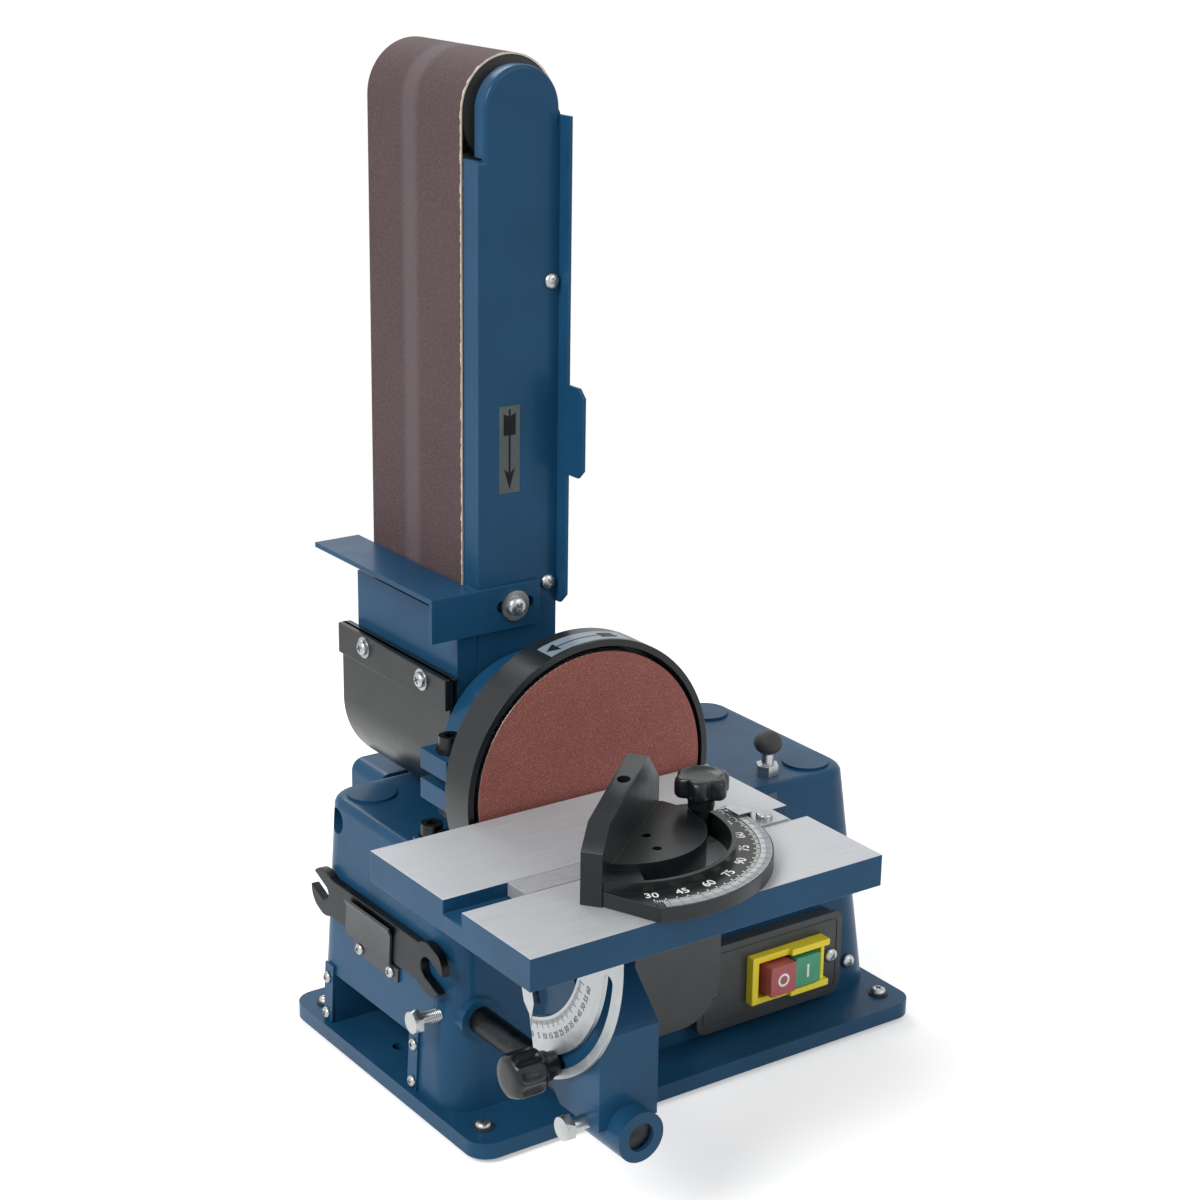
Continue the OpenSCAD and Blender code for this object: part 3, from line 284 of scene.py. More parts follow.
def spread(tree, value, low, high, first=0.3, last=0.7, kind="LINEAR"):
    """Turn a value between first and last into a number from low to high."""
    return add(tree, "ShaderNodeMapRange", links=[("Value", value)], interpolation_type=kind,
               From_Min=first, From_Max=last, To_Min=low, To_Max=high).outputs["Result"]


def bump(tree, shader, height, depth_mm, strength):
    """Small relief from a noise value."""
    node = add(tree, "ShaderNodeBump", links=[("Height", height)], Distance=depth_mm * MM,
               Strength=strength)
    tree.links.new(node.outputs[0], shader.inputs["Normal"])


def wire(tree, shader, **sockets):
    """Link outputs to the shader's sockets of those names, or set the sockets to numbers."""
    for name, value in sockets.items():
        socket = shader.inputs[name.replace("_", " ")]
        if isinstance(value, (int, float)):
            socket.default_value = value
        else:
            tree.links.new(value, socket)


# %% [markdown]
# ## Stove enamel
# Castings and pressed sheet are sprayed and then baked. The paint flows a little before it
# sets, which leaves a soft gloss and shallow waves, known as orange peel. An image could carry
# them, but noise needs no unwrapping and suits every solid alike. The waves are drawn 4.5 mm
# wide, wider than they are, because finer ones don't show from here.

# %% Painted steel and castings
def enamel(name, dark, light):
    """Stove enamel on castings and sheet: a faint orange peel and slow colour drift."""
    mat, tree, shader, where = start(name)
    drift = noise(tree, where, 60, 4)
    wire(tree, shader, Base_Color=ramp(tree, drift, [(0.35, dark), (0.7, light)]),
         Roughness=spread(tree, noise(tree, where, 14, 2), 0.30, 0.38),
         Specular_IOR_Level=0.12, Coat_Weight=0.1, Coat_Roughness=0.1)
    bump(tree, shader, noise(tree, where, 4.5, 0), 0.03, 0.15)
    return mat


BLUE = enamel("blue stove enamel", "#174260", "#1c496a")
print("paint:", BLUE.name)

# %% [markdown]
# ## Plastics, rubber and inks
# The rough wall of a mould gives nylon a fine grain that breaks up its shine, while switch
# keys come from a polished mould and stay glossy. They differ only in colour, roughness, shine
# and grain, so one function makes them all. The real grain is about 0.1 mm wide and is drawn
# about 1 mm wide, so that it shows at all.

# %% Plastics and rubber
def moulded(name, dark, light, rough=0.42, grain_mm=0.9, depth=0.03, shine=0.5):
    """Plastic with a fine grain for mouldings, and with hardly any grain for inks and films."""
    mat, tree, shader, where = start(name)
    wire(tree, shader, Base_Color=ramp(tree, noise(tree, where, 25, 4), [(0.3, dark), (0.7, light)]),
         Roughness=spread(tree, noise(tree, where, 12, 2), rough - 0.02, rough + 0.04),
         Specular_IOR_Level=shine)
    bump(tree, shader, noise(tree, where, grain_mm, 3), depth, 0.5)
    return mat


BLACK = moulded("black moulded nylon", "#272b2d", "#303537")
PITCH = moulded("black glossy nylon", "#101517", "#171d1f", 0.3, 1.2, 0.015, 0.36)
RUBBER = moulded("black rubber", "#1f2122", "#2b2d2e", 0.62, 1.2, 0.05)
YELLOW = moulded("yellow ABS", "#e8d11c", "#f2df2e", 0.3, 1.5, 0.01)
RED = moulded("red ABS", "#a34a4c", "#b05557", 0.3, 1.5, 0.01)
GREEN = moulded("green ABS", "#2f8e68", "#3a9c76", 0.3, 1.5, 0.01)
WHITE = moulded("white ink", "#e6e6e2", "#f2f2ee", 0.5, 1.5, 0.01)
LABEL = moulded("dark label film", "#323c44", "#3a454e", 0.35, 6, 0.004)
SILVER = moulded("silver label film", "#6f7e8b", "#85939e", 0.3, 6, 0.004)
GREY_FOIL = moulded("grey label film", "#3b4445", "#485251", 0.35, 2, 0.004)
PRINT = moulded("black ink", "#15191b", "#1c2123", 0.4, 6, 0.002, 0.1)
print("materials so far:", len(bpy.data.materials))

# %% [markdown]
# ## Bare and plated metals
# Grinding and turning leave fine lines that smear the reflections, and zinc plate has soft
# clouds instead. Noise stretched along one direction gives such lines without an image. They
# are less than 0.1 mm apart on the real pieces and are drawn about 1 mm apart, but shallow.
# A metal's colour already says how it reflects, so its IOR is left alone.

# %% Bare and plated metals
def bare_metal(name, dark, light, rough, stretch=(1, 1, 1), line_mm=0.8, depth=0.01, metallic=1.0):
    """Metal whose grinding or turning lines run along the direction with the smallest stretch."""
    mat, tree, shader, where = start(name)
    lines = noise(tree, where, line_mm, 4, stretch)
    wire(tree, shader, Base_Color=ramp(tree, lines, [(0.3, dark), (0.7, light)]),
         Roughness=spread(tree, lines, rough - 0.06, rough + 0.08), Metallic=metallic)
    if depth:
        bump(tree, shader, lines, depth, 0.4)
    return mat


ZINC = bare_metal("bright zinc plate", "#a6aaab", "#bbbebf", 0.32, (1, 1, 1), 12.0, 0)
STEEL = bare_metal("ground steel", "#a6aaad", "#babdc0", 0.5, (0.12, 1, 1), 0.8, 0.003, 0.5)
# A surface ground with a coarse wheel scatters nearly all the light, so it counts as half metal.
GROUND = bare_metal("ground table top", "#b0b3b6", "#bdc0c3", 0.58, (0.03, 1, 1), 1.0, 0.002, 0.45)
SATIN = bare_metal("turned aluminium", "#a9abad", "#c9cbcd", 0.34, (1, 0.2, 1))
SCALE = bare_metal("satin scale plate", "#a9adb0", "#b9bdbf", 0.42, (1, 1, 1), 8.0, 0, 0.8)
DARK_STEEL = bare_metal("black oxide steel", "#2a2d2f", "#3a3d40", 0.38, (1, 1, 1), 6.0, 0)
CAST_GREY = enamel("grey motor paint", "#45484b", "#52565a")
print("materials so far:", len(bpy.data.materials))

# %% [markdown]
# ## Abrasives
# The belt is cloth and the disc is paper, both with grains of aluminium oxide glued on. The
# grains could be geometry, but there would be hundreds of thousands of them, so a cell pattern
# and noise give their colour and relief. Grains of a coarse grade are 0.2 to 0.3 mm wide and
# would blur into one colour from here, so they are drawn 0.5 mm wide on the disc and 0.65 mm
# wide on the belt.

# %% Abrasives
def grain(tree, where, grit_mm):
    """Fine and coarse grains added up, from about 0.6 to 1.2."""
    cells = add(tree, "ShaderNodeTexVoronoi", links=[("Vector", where)], Scale=1000 / grit_mm)
    fine = noise(tree, where, grit_mm * 1.6, 5)
    return math_node(tree, "ADD", cells.outputs["Distance"], fine)


def abrasive(name, stops, rough, grit_mm, cloudy_mm):
    """Grit glued to cloth or paper: even colour from far away, single grains from near."""
    mat, tree, shader, where = start(name)
    grit = grain(tree, where, grit_mm)
    base = ramp(tree, spread(tree, grit, 0, 1, 0.45, 1.5), stops)
    cloud = spread(tree, noise(tree, where, cloudy_mm, 3), 0.93, 1.07)
    tint = add(tree, "ShaderNodeHueSaturation", links=[("Color", base), ("Value", cloud)])
    shade = tint.outputs["Color"]
    wire(tree, shader, Base_Color=shade, Roughness=rough)
    bump(tree, shader, grit, 0.12, 0.5)
    return mat, tree, shader, where, shade


DISC_STOPS = [(0.0, "#64342d"), (0.5, "#82473f"), (1.0, "#a56d62")]
DISC = abrasive("red aluminium oxide paper", DISC_STOPS, 0.8, 0.5, 40)[0]


def mixed(tree, share, first, code):
    """A colour that turns from the first one into a hex colour as the share grows."""
    node = add(tree, "ShaderNodeMix", data_type="RGBA", links=[("Factor", share)])
    tree.links.new(first, node.inputs["A"])
    node.inputs["B"].default_value = linear(code)
    return node.outputs["Result"]


# A pale stripe is worn along the belt between two places, and its cloth frays at the front edge.
BELT_STOPS = [(0.0, "#382729"), (0.5, "#453436"), (1.0, "#5c484b")]
STRIPE_MM = (34, 42, 49, 57)
WEAR = 0.55
FRAY_MM = (-8.4, -7.2)
BELT, tree, shader, where, shade = abrasive("brown abrasive cloth", BELT_STOPS, 0.8, 0.65, 50)
across = add(tree, "ShaderNodeSeparateXYZ", links=[("Vector", where)]).outputs["Y"]
places = [place * MM for place in STRIPE_MM]
rise = spread(tree, across, 0.0, 1.0, places[0], places[1], "SMOOTHSTEP")
fall = spread(tree, across, 1.0, 0.0, places[2], places[3], "SMOOTHSTEP")
stripe = math_node(tree, "MULTIPLY", rise, fall)
worn = mixed(tree, math_node(tree, "MULTIPLY", stripe, WEAR), shade, "#61575b")
fray = spread(tree, noise(tree, where, 3, 4), FRAY_MM[0] * MM, FRAY_MM[1] * MM)
cloth = mixed(tree, math_node(tree, "LESS_THAN", across, fray), worn, "#cfc4b4")
tree.links.new(cloth, shader.inputs["Base Color"])
CARD = moulded("pale paper edge", "#c9bdb0", "#dcd2c6", 0.8, 1.0, 0.01)
print("materials:", len(bpy.data.materials))

# %% [markdown]
# ## One finish for each solid
# Each finish has a list of the solids that wear it, so every solid is named once and none stays
# plain. The pieces made further down take their finish from the same lists.

# %% Give every solid its finish
FINISH = {
    BLUE: ["base_plate", "housing", "side_brackets", "drive_cover", "pedestal", "arm_frame",
           "stop_plate", "lower_cover", "work_stop", "table_bracket", "table"],
    BLACK: ["spanner_clip", "switch_panel", "dust_chute"],
    PITCH: ["disc_guard", "drum_guard", "tension_lever", "tracking_knob", "tilt_knob", "mitre_head",
            "mitre_knob"],
    ZINC: ["foot_screws", "side_screws", "rod_clamp_bolt", "panel_screws", "cover_screws",
           "disc_guard_screws", "stop_stud", "arm_screws", "stop_bolt", "bracket_bolts",
           "mitre_pointer", "tilt_pointer"],
    DARK_STEEL: ["spanner", "table_rod", "pedestal_screws", "clamp_screw"],
    STEEL: ["platen", "spindle_shaft", "idler_axle", "tension_fork", "motor_rotor", "bearings",
            "mitre_bar", "spindle_pulley"],
    SCALE: ["mitre_scale", "tilt_quadrant"],
    RUBBER: ["rubber_feet", "foot_washers", "drive_belt", "stop_bumper", "drive_drum", "idler_drum"],
    SATIN: ["disc_plate"],
    CAST_GREY: ["motor"],
    DISC: ["abrasive_disc"],
    BELT: ["sanding_belt"],
    YELLOW: ["switch_frame"],
    RED: ["off_button"],
    GREEN: ["on_button"],
}
BODIES = frame["record"]["behaviour"]["bodies"]
FINISH_OF = {name: finish for finish, names in FINISH.items() for name in names}
BODY_OF = {name: body for body, names in BODIES.items() for name in names}
for name, finish in FINISH_OF.items():
    solid = frame["nodes"][name]
    solid.data.materials.clear()
    solid.data.materials.append(finish)
print("finished solids:", len(FINISH_OF), "left over:", sorted(set(BODY_OF) - set(FINISH_OF)))

# %% [markdown]
# ## Castings and pressed sheet
# A sand casting, a pressed plate and a moulding have no knife edges: paint and tooling leave
# a small radius that catches the light. The solids could be drawn again by hand, but they
# already have the right shape, so each one is copied, its loose triangles are joined into
# flat faces, and a bevel of the real edge radius is put on every edge that turns sharply.

# %% Clean copies of the solids
WELD = 0.004 * MM
FLAT_ENOUGH = math.radians(0.6)


def welded(node):
    """The solid's mesh with its loose triangles joined at their corners, as a bmesh."""
    form = bmesh.new()
    form.from_mesh(frame["nodes"][node].data)
    bmesh.ops.remove_doubles(form, verts=form.verts, dist=WELD)
    return form


def clean_copy(node):
    """The solid's mesh with its triangles joined into flat faces, as a bmesh."""
    form = welded(node)
    bmesh.ops.dissolve_limit(form, angle_limit=FLAT_ENOUGH, verts=form.verts, edges=form.edges)
    return form


def show(name, form, finish, body, *nodes):
    """Turn a bmesh into an object that rides on a body and stands for the named solids."""
    mesh = bpy.data.meshes.new(name)
    form.to_mesh(mesh)
    form.free()
    if "custom_normal" in mesh.attributes:
        mesh.attributes.remove(mesh.attributes["custom_normal"])
    mesh.materials.clear()
    mesh.materials.append(finish)
    for face in mesh.polygons:
        face.material_index = 0
    obj = linked(name, mesh)
    if nodes:
        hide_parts(*nodes)
    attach(obj, body)
    return obj


def smooth(obj, degrees=35):
    """Shade smoothly, but keep every edge that turns more than this."""
    obj.data.shade_smooth()
    obj.data.set_sharp_from_angle(angle=math.radians(degrees))


# %% Copies with rounded edges
def bevel(obj, name, width_mm, segments, limit):
    """Round the edges that a limit picks: NONE, ANGLE or WEIGHT."""
    edge = obj.modifiers.new(name, "BEVEL")
    edge.width = width_mm * MM
    edge.segments = segments
    edge.limit_method = limit
    return edge


def rounded(node, width_mm, degrees=40):
    """The solid again, with its sharp edges rounded."""
    obj = show(node + "_piece", clean_copy(node), FINISH_OF[node], BODY_OF[node], node)
    smooth(obj, degrees)
    edge = bevel(obj, "edge radius", width_mm, 2, "ANGLE")
    edge.angle_limit = math.radians(degrees)
    edge.use_clamp_overlap = True
    edge.harden_normals = True
    return obj


EDGE_MM = {
    "base_plate": 1.2, "housing": 0.8, "side_brackets": 0.4, "drive_cover": 1.0, "pedestal": 1.2,
    "arm_frame": 0.8, "stop_plate": 0.4, "lower_cover": 0.6, "work_stop": 1.1, "table_bracket": 1.2,
    "table": 0.7, "spanner_clip": 0.3, "switch_panel": 0.7, "disc_guard": 0.7, "dust_chute": 0.8,
    "drum_guard": 0.6, "mitre_head": 0.8, "off_button": 0.6, "on_button": 0.6, "spanner": 0.6,
    "mitre_bar": 0.4, "tilt_quadrant": 0.3, "tension_lever": 1.0, "rubber_feet": 0.4, "stop_stud": 0.3,
    "pedestal_screws": 0.3, "clamp_screw": 0.3, "bracket_bolts": 0.3, "tension_fork": 0.5,
    "disc_plate": 0.4, "mitre_pointer": 0.15, "motor": 1.5,
}
ROUNDED = {node: rounded(node, width) for node, width in EDGE_MM.items()}
print("rounded:", len(ROUNDED))

# %% [markdown]
# ## Large radii
# The corners of the clamp ears and the outline of the arm's front plate are rounder than the
# other edges. A second bevel makes them. It reads a weight from each edge, and a short rule
# picks the edges by their place, so none has to be marked by hand.

# %% Large radii on chosen edges
def box_mm(node):
    """The two corners of a solid's box in millimetres."""
    return [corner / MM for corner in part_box(node)]


def round_some(obj, chosen, width_mm):
    """Round the edges whose two ends, in millimetres, pass a test."""
    mesh = obj.data
    weight = mesh.attributes.new("bevel_weight_edge", "FLOAT", "EDGE")
    found = 0
    for edge in mesh.edges:
        a, b = (mesh.vertices[i].co / MM for i in edge.vertices)
        if chosen(a, b):
            weight.data[edge.index].value = 1.0
            found += 1
    bevel(obj, "large radius", width_mm, 4, "WEIGHT")
    obj.modifiers.move(len(obj.modifiers) - 1, 0)
    return found


ear_end = box_mm("pedestal")[0].x
EARS_ABOVE = 190
EAR_RADIUS = 6
ARM_FRONT = -24.5
ARM_LEFT = -110.0
ARM_EDGE_ABOVE = 300
DOME_MIDDLE = (-81.5, 578.5)
DOME_RADIUS = 24.5
DOME_SIDE_ABOVE = 530
ARM_RADIUS = 2.2


def ear_corner(a, b):
    """An upright edge at the free end of the clamp ears."""
    upright = abs(a.x - b.x) + abs(a.y - b.y) < 0.01
    return upright and abs(a.x - ear_end) < 0.1 and a.z > EARS_ABOVE


def on_arm_outline(p):
    """On the front plate's left edge or on the outline of its dome."""
    if abs(p.y - ARM_FRONT) > 0.05:
        return False
    if abs(p.x - ARM_LEFT) < 0.05 and p.z > ARM_EDGE_ABOVE:
        return True
    if p.z < DOME_MIDDLE[1] - 0.05:
        return abs(abs(p.x - DOME_MIDDLE[0]) - DOME_RADIUS) < 0.1 and p.z > DOME_SIDE_ABOVE
    return abs(math.hypot(p.x - DOME_MIDDLE[0], p.z - DOME_MIDDLE[1]) - DOME_RADIUS) < 0.1


def arm_edge(a, b):
    """An edge whose two ends lie on the outline."""
    return on_arm_outline(a) and on_arm_outline(b)


print("ear corners:", round_some(ROUNDED["pedestal"], ear_corner, EAR_RADIUS))
print("arm edges:", round_some(ROUNDED["arm_frame"], arm_edge, ARM_RADIUS))

# %% [markdown]
# ## Drum guard
# The guard is a bent sheet, and a stiff angle is fixed along its upper edge, which closes the
# gap towards the arm and carries the two screws. In a drawing the angle is one profile pulled
# along the arm, so it is made here from the corners of that profile.

# %% Angle along the drum guard
BAND_OUT = 3.0
BAND_HIGH = 19.0
SHEET = 2
WALL_GAP = 0.4
NO_FLICKER = 0.02


def pulled(corners, away):
    """A closed form from the corners of one flat face, pulled along a vector, in millimetres."""
    form = bmesh.new()
    face = form.faces.new([form.verts.new(Vector(corner) * MM) for corner in corners])
    grown = bmesh.ops.extrude_face_region(form, geom=[face])
    moved = [item for item in grown["geom"] if isinstance(item, bmesh.types.BMVert)]
    bmesh.ops.translate(form, verts=moved, vec=Vector(away) * MM)
    bmesh.ops.recalc_face_normals(form, faces=form.faces)
    return form


lo, hi = box_mm("drum_guard")
outside = lo.x - BAND_OUT
inside = lo.x + NO_FLICKER
wall_x = box_mm("lower_cover")[0].x - WALL_GAP
PROFILE = [(outside, hi.z), (outside, hi.z - BAND_HIGH), (inside, hi.z - BAND_HIGH),
           (inside, hi.z - SHEET), (wall_x, hi.z - SHEET), (wall_x, hi.z)]
form = pulled([(x, lo.y, z) for x, z in PROFILE], (0, hi.y - lo.y, 0))
angle = show("drum_guard_angle", form, PITCH, "belt_arm")
smooth(angle)
bevel(angle, "edge radius", 0.6, 2, "ANGLE")
print("angle from", round(outside, 1), "to", round(wall_x, 1))

# %% [markdown]
# ## Table
# The table is a casting, painted all over and then ground flat on top, so the bare metal ends
# exactly at the upper edge. Two materials on one mesh show this: faces that look up and lie
# at the height of the top are bare, all others keep the paint.

# %% Bare top on a painted casting
table = ROUNDED["table"]
table.data.materials.append(GROUND)
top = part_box("table")[1].z
for face in table.data.polygons:
    if face.normal.z > 0.99 and face.center.z > top - 0.1 * MM:
        face.material_index = 1
print("bare faces:", sum(face.material_index for face in table.data.polygons))

# %% [markdown]
# ## Switch surround
# The surround of the two keys is a thin moulded frame. It is low and plain round the stop key,
# and two raised rails guard the start key above and below, with the end left open. It could be
# cut out of one block, but bars laid into each other show the same form with less. Where two
# bars overlap, one is a little smaller, so that no two faces lie in the same plane.

# %% Frame round the keys
FRAME_DEEP = 11.5
LOW_RIM = 8.5
END_RIM = 10.0
RIM_WIDE = 5.0
RAIL_WIDE = 4.3
STEP = 0.05


def brick(form, low, high):
    """Add a closed box between two corners given in millimetres."""
    size = [(b - a) * MM for a, b in zip(low, high)]
    middle = Vector([(a + b) / 2 * MM for a, b in zip(low, high)])
    matrix = Matrix.Translation(middle) @ Matrix.Diagonal((*size, 1.0))
    bmesh.ops.create_cube(form, size=1.0, matrix=matrix)


lo, hi = box_mm("switch_frame")
key_split = (box_mm("off_button")[1].x + box_mm("on_button")[0].x) / 2
back = lo.y + FRAME_DEEP
low_front = back - LOW_RIM
form = bmesh.new()
brick(form, (lo.x, low_front, lo.z), (lo.x + RIM_WIDE, back, hi.z))
for z_from, z_to in ((lo.z, lo.z + RAIL_WIDE), (hi.z - RAIL_WIDE, hi.z)):
    brick(form, (lo.x + 1, low_front + STEP, z_from + STEP), (hi.x - 3, back, z_to - STEP))
    brick(form, (key_split - 1, lo.y, z_from), (hi.x, back, z_to))
brick(form, (hi.x - 6, back - END_RIM, lo.z + 1), (hi.x - 3.2, back, hi.z - 1))
surround = show("switch_frame_piece", form, YELLOW, "base", "switch_frame")
smooth(surround)
bevel(surround, "edge radius", 0.6, 3, "ANGLE")
print("surround faces:", len(surround.data.polygons))

# %% [markdown]
# ## Screws
# Pan head screws with a cross recess hold the sheet parts. A real head is pressed, and a punch
# leaves the recess. Here the screw is turned from its profile, and a boolean with two crossed
# bars cuts the recess, which says more plainly what happens than faces drawn by hand.

# %% Forms made of rings
def skinned(rows, steps):
    """A closed form from rings round Z, in millimetres.

    Each row is a rule, which gives the radius from the part of a turn, and a height.
    """
    form = bmesh.new()
    loops = []
    for reach, height in rows:
        ring = []
        for i in range(steps):
            angle = 2 * math.pi * i / steps
            radius = reach(i / steps) * MM
            point = (radius * math.cos(angle), radius * math.sin(angle), height * MM)
            ring.append(form.verts.new(point))
        loops.append(ring)
    for low, high in zip(loops, loops[1:]):
        for i in range(steps):
            j = (i + 1) % steps
            form.faces.new((low[i], low[j], high[j], high[i]))
    form.faces.new(list(reversed(loops[0])))
    form.faces.new(loops[-1])
    bmesh.ops.recalc_face_normals(form, faces=form.faces)
    return form


def turned(points, steps=32):
    """A closed solid of revolution round Z from (radius, height) points in millimetres."""
    return skinned([(lambda part, radius=radius: radius, height) for radius, height in points], steps)


def placed(form, matrix):
    """The same form, moved by a matrix."""
    bmesh.ops.transform(form, matrix=matrix, verts=form.verts)
    return form


# %% One pan head screw
# Heights and radii of the head are shares of the shank's diameter.
HEAD_TALL = 0.62
DOME = [
    (0.88, 0.0), (0.94, 0.06), (0.93, 0.24), (0.85, 0.40), (0.66, 0.53), (0.38, 0.60),
    (0.10, HEAD_TALL)]
RECESS_LONG = 0.46
RECESS_WIDE = 0.13


def hidden_object(name, form):
    """An object that only serves to make another one."""
    mesh = bpy.data.meshes.new(name)
    form.to_mesh(mesh)
    form.free()
    return linked(name, mesh)


def baked(obj, name):
    """The object's mesh with its modifiers worked in."""
    graph = bpy.context.evaluated_depsgraph_get()
    mesh = bpy.data.meshes.new_from_object(obj.evaluated_get(graph), preserve_all_data_layers=True,
                                           depsgraph=graph)
    mesh.name = name
    return mesh


def discard(*objects):
    """Remove objects that only served to make others."""
    for obj in objects:
        bpy.data.objects.remove(obj, do_unlink=True)


def pan_screw(diameter, length, washer=0.0, thick=0.0):
    """Pan head with its seat on z = 0, or on a washer, and its shank below."""
    d = diameter
    shank = [(d * 0.36, -length), (d * 0.5, -length + d * 0.15), (d * 0.5, -0.01)]
    ring = [(washer, 0.0), (washer, thick)] if washer else []
    dome = [(d * radius, thick + d * height) for radius, height in DOME]
    head = hidden_object("screw blank", turned(shank + ring + dome))
    cross = bmesh.new()
    for a, b in ((RECESS_LONG * d, RECESS_WIDE * d), (RECESS_WIDE * d, RECESS_LONG * d)):
        brick(cross, (-a, -b, thick + 0.3 * d), (a, b, thick + 1.1 * d))
    cutter = hidden_object("cross recess", cross)
    cut = head.modifiers.new("recess", "BOOLEAN")
    cut.operation = "DIFFERENCE"
    cut.object = cutter
    cut.use_self = True
    mesh = baked(head, "pan screw")
    discard(head, cutter)
    return mesh


# %% [markdown]
# ## Screws on their places
# Screws set by hand would have to be moved by hand after every change. Geometry Nodes put a
# copy on every place instead, stand it along its own direction, and turn it by its own random
# angle, as screws are when they have been driven home. The seed and the order of the places
# are fixed, so the angles are the same in every run.

# %% Geometry Nodes helpers
def new_tree(name, inputs):
    """A tree with geometry in and out and further inputs, as (name, kind) pairs."""
    tree = bpy.data.node_groups.new(name, "GeometryNodeTree")
    for label, kind in [("Geometry", "Geometry"), *inputs]:
        tree.interface.new_socket(label, in_out="INPUT", socket_type="NodeSocket" + kind)
    tree.interface.new_socket("Geometry", in_out="OUTPUT", socket_type="NodeSocketGeometry")
    return tree, add(tree, "NodeGroupInput").outputs


def copies_on(tree, points, thing, rotation, finish):
    """Last part of a tree: put a thing on every point, make it real and give it its finish."""
    copies = add(tree, "GeometryNodeInstanceOnPoints",
                 links=[("Points", points), ("Instance", thing), ("Rotation", rotation)])
    real = add(tree, "GeometryNodeRealizeInstances", links=[("Geometry", copies.outputs[0])])
    done = add(tree, "GeometryNodeSetMaterial",
               links=[("Geometry", real.outputs[0]), ("Material", finish)])
    add(tree, "NodeGroupOutput", links=[("Geometry", done.outputs[0])])


def socket_of(tree, name):
    """Identifier of a named input of a tree."""
    return next(item.identifier for item in tree.interface.items_tree
                if item.item_type == "SOCKET" and item.in_out == "INPUT" and item.name == name)


def run_tree(tree, mesh, name, values):
    """The form that a tree makes from a mesh."""
    holder = linked("holder", mesh)
    use = holder.modifiers.new("tree", "NODES")
    use.node_group = tree
    for key, value in values.items():
        use[socket_of(tree, key)] = value
    form = bmesh.new()
    form.from_mesh(baked(holder, name))
    discard(holder)
    return form


# %% Tree that sets the screws
def screw_tree():
    """A screw on every point, standing along the point's own direction."""
    inputs = [("Screw", "Object"), ("Seed", "Int"), ("Finish", "Material")]
    tree, given = new_tree("set screws", inputs)
    out = add(tree, "GeometryNodeInputNamedAttribute", data_type="FLOAT_VECTOR", Name="out")
    stand = add(tree, "FunctionNodeAlignRotationToVector", axis="Z", links=[("Vector", out.outputs[0])])
    spin = add(tree, "FunctionNodeRandomValue", data_type="FLOAT", links=[("Seed", given["Seed"])])
    spin.inputs[3].default_value = 2 * math.pi
    about = add(tree, "FunctionNodeAxisAngleToRotation", links=[("Angle", spin.outputs[1])],
                Axis=(0, 0, 1))
    turn = add(tree, "FunctionNodeRotateRotation", rotation_space="LOCAL",
               links=[("Rotation", stand.outputs[0]), ("Rotate By", about.outputs[0])])
    screw = add(tree, "GeometryNodeObjectInfo", links=[("Object", given["Screw"])])
    copies_on(tree, given["Geometry"], screw.outputs["Geometry"], turn.outputs[0], given["Finish"])
    return tree


SET_SCREWS = screw_tree()
print("inputs of the tree:", [item.name for item in SET_SCREWS.interface.items_tree])


# %% Places of the screws
def islands(node):
    """The separate solids of a node, each as a list of points, always in the same order."""
    form = welded(node)
    seen = set()
    found = []
    for first in form.verts:
        if first in seen:
            continue
        seen.add(first)
        edge = [first]
        group = []
        while edge:
            vert = edge.pop()
            group.append(vert.co.copy())
            for link in vert.link_edges:
                other = link.other_vert(vert)
                if other not in seen:
                    seen.add(other)
                    edge.append(other)
        found.append(group)
    form.free()
    found.sort(key=lambda group: min(tuple(point) for point in group))
    return found


def crown(points, out):
    """Middle of the flat top that a screw has in the direction it points out."""
    high = max(point.dot(out) for point in points)
    top = [point for point in points if point.dot(out) > high - 0.02 * MM]
    low = Vector([min(point[i] for point in top) for i in range(3)])
    far = Vector([max(point[i] for point in top) for i in range(3)])
    return (low + far) / 2


# %% Set the screws
# The housing's walls lean in by 7.5 mm at the side and by 13.5 mm in front over a height of 147 mm.
WALL_LEAN = math.atan2(7.5, 147)
FRONT_LEAN = math.atan2(13.5, 147)
SEED = 7
SIDE_SCREWS_BEFORE = -100 * MM
OUT = {"front": Vector((0, -1, 0)), "back": Vector((0, 1, 0)), "up": Vector((0, 0, 1)),
       "left": Vector((-1, 0, 0)), "wall": Vector((-math.cos(WALL_LEAN), 0, math.sin(WALL_LEAN)))}


def set_screws(node, diameter, length, facing, pick=None, washer=0.0, thick=0.0, extra="", proud=0.0):
    """Replace a node's screws by finished ones that point out in one direction."""
    out = OUT[facing]
    chosen = [group for group in islands(node) if pick is None or pick(group[0])]
    places = [crown(group, out) + out * proud * MM for group in chosen]
    tall = (HEAD_TALL * diameter + thick) * MM
    mesh = bpy.data.meshes.new("places")
    mesh.from_pydata([place - out * tall for place in places], [], [])
    way = mesh.attributes.new("out", "FLOAT_VECTOR", "POINT")
    way.data.foreach_set("vector", [part for _ in places for part in out])
    screw = linked("screw", pan_screw(diameter, length, washer, thick))
    name = node + "_piece" + extra
    values = {"Screw": screw, "Seed": SEED + len(node), "Finish": ZINC}
    form = run_tree(SET_SCREWS, mesh, name, values)
    discard(screw)
    smooth(show(name, form, ZINC, BODY_OF[node], node), 30)
    return len(places)


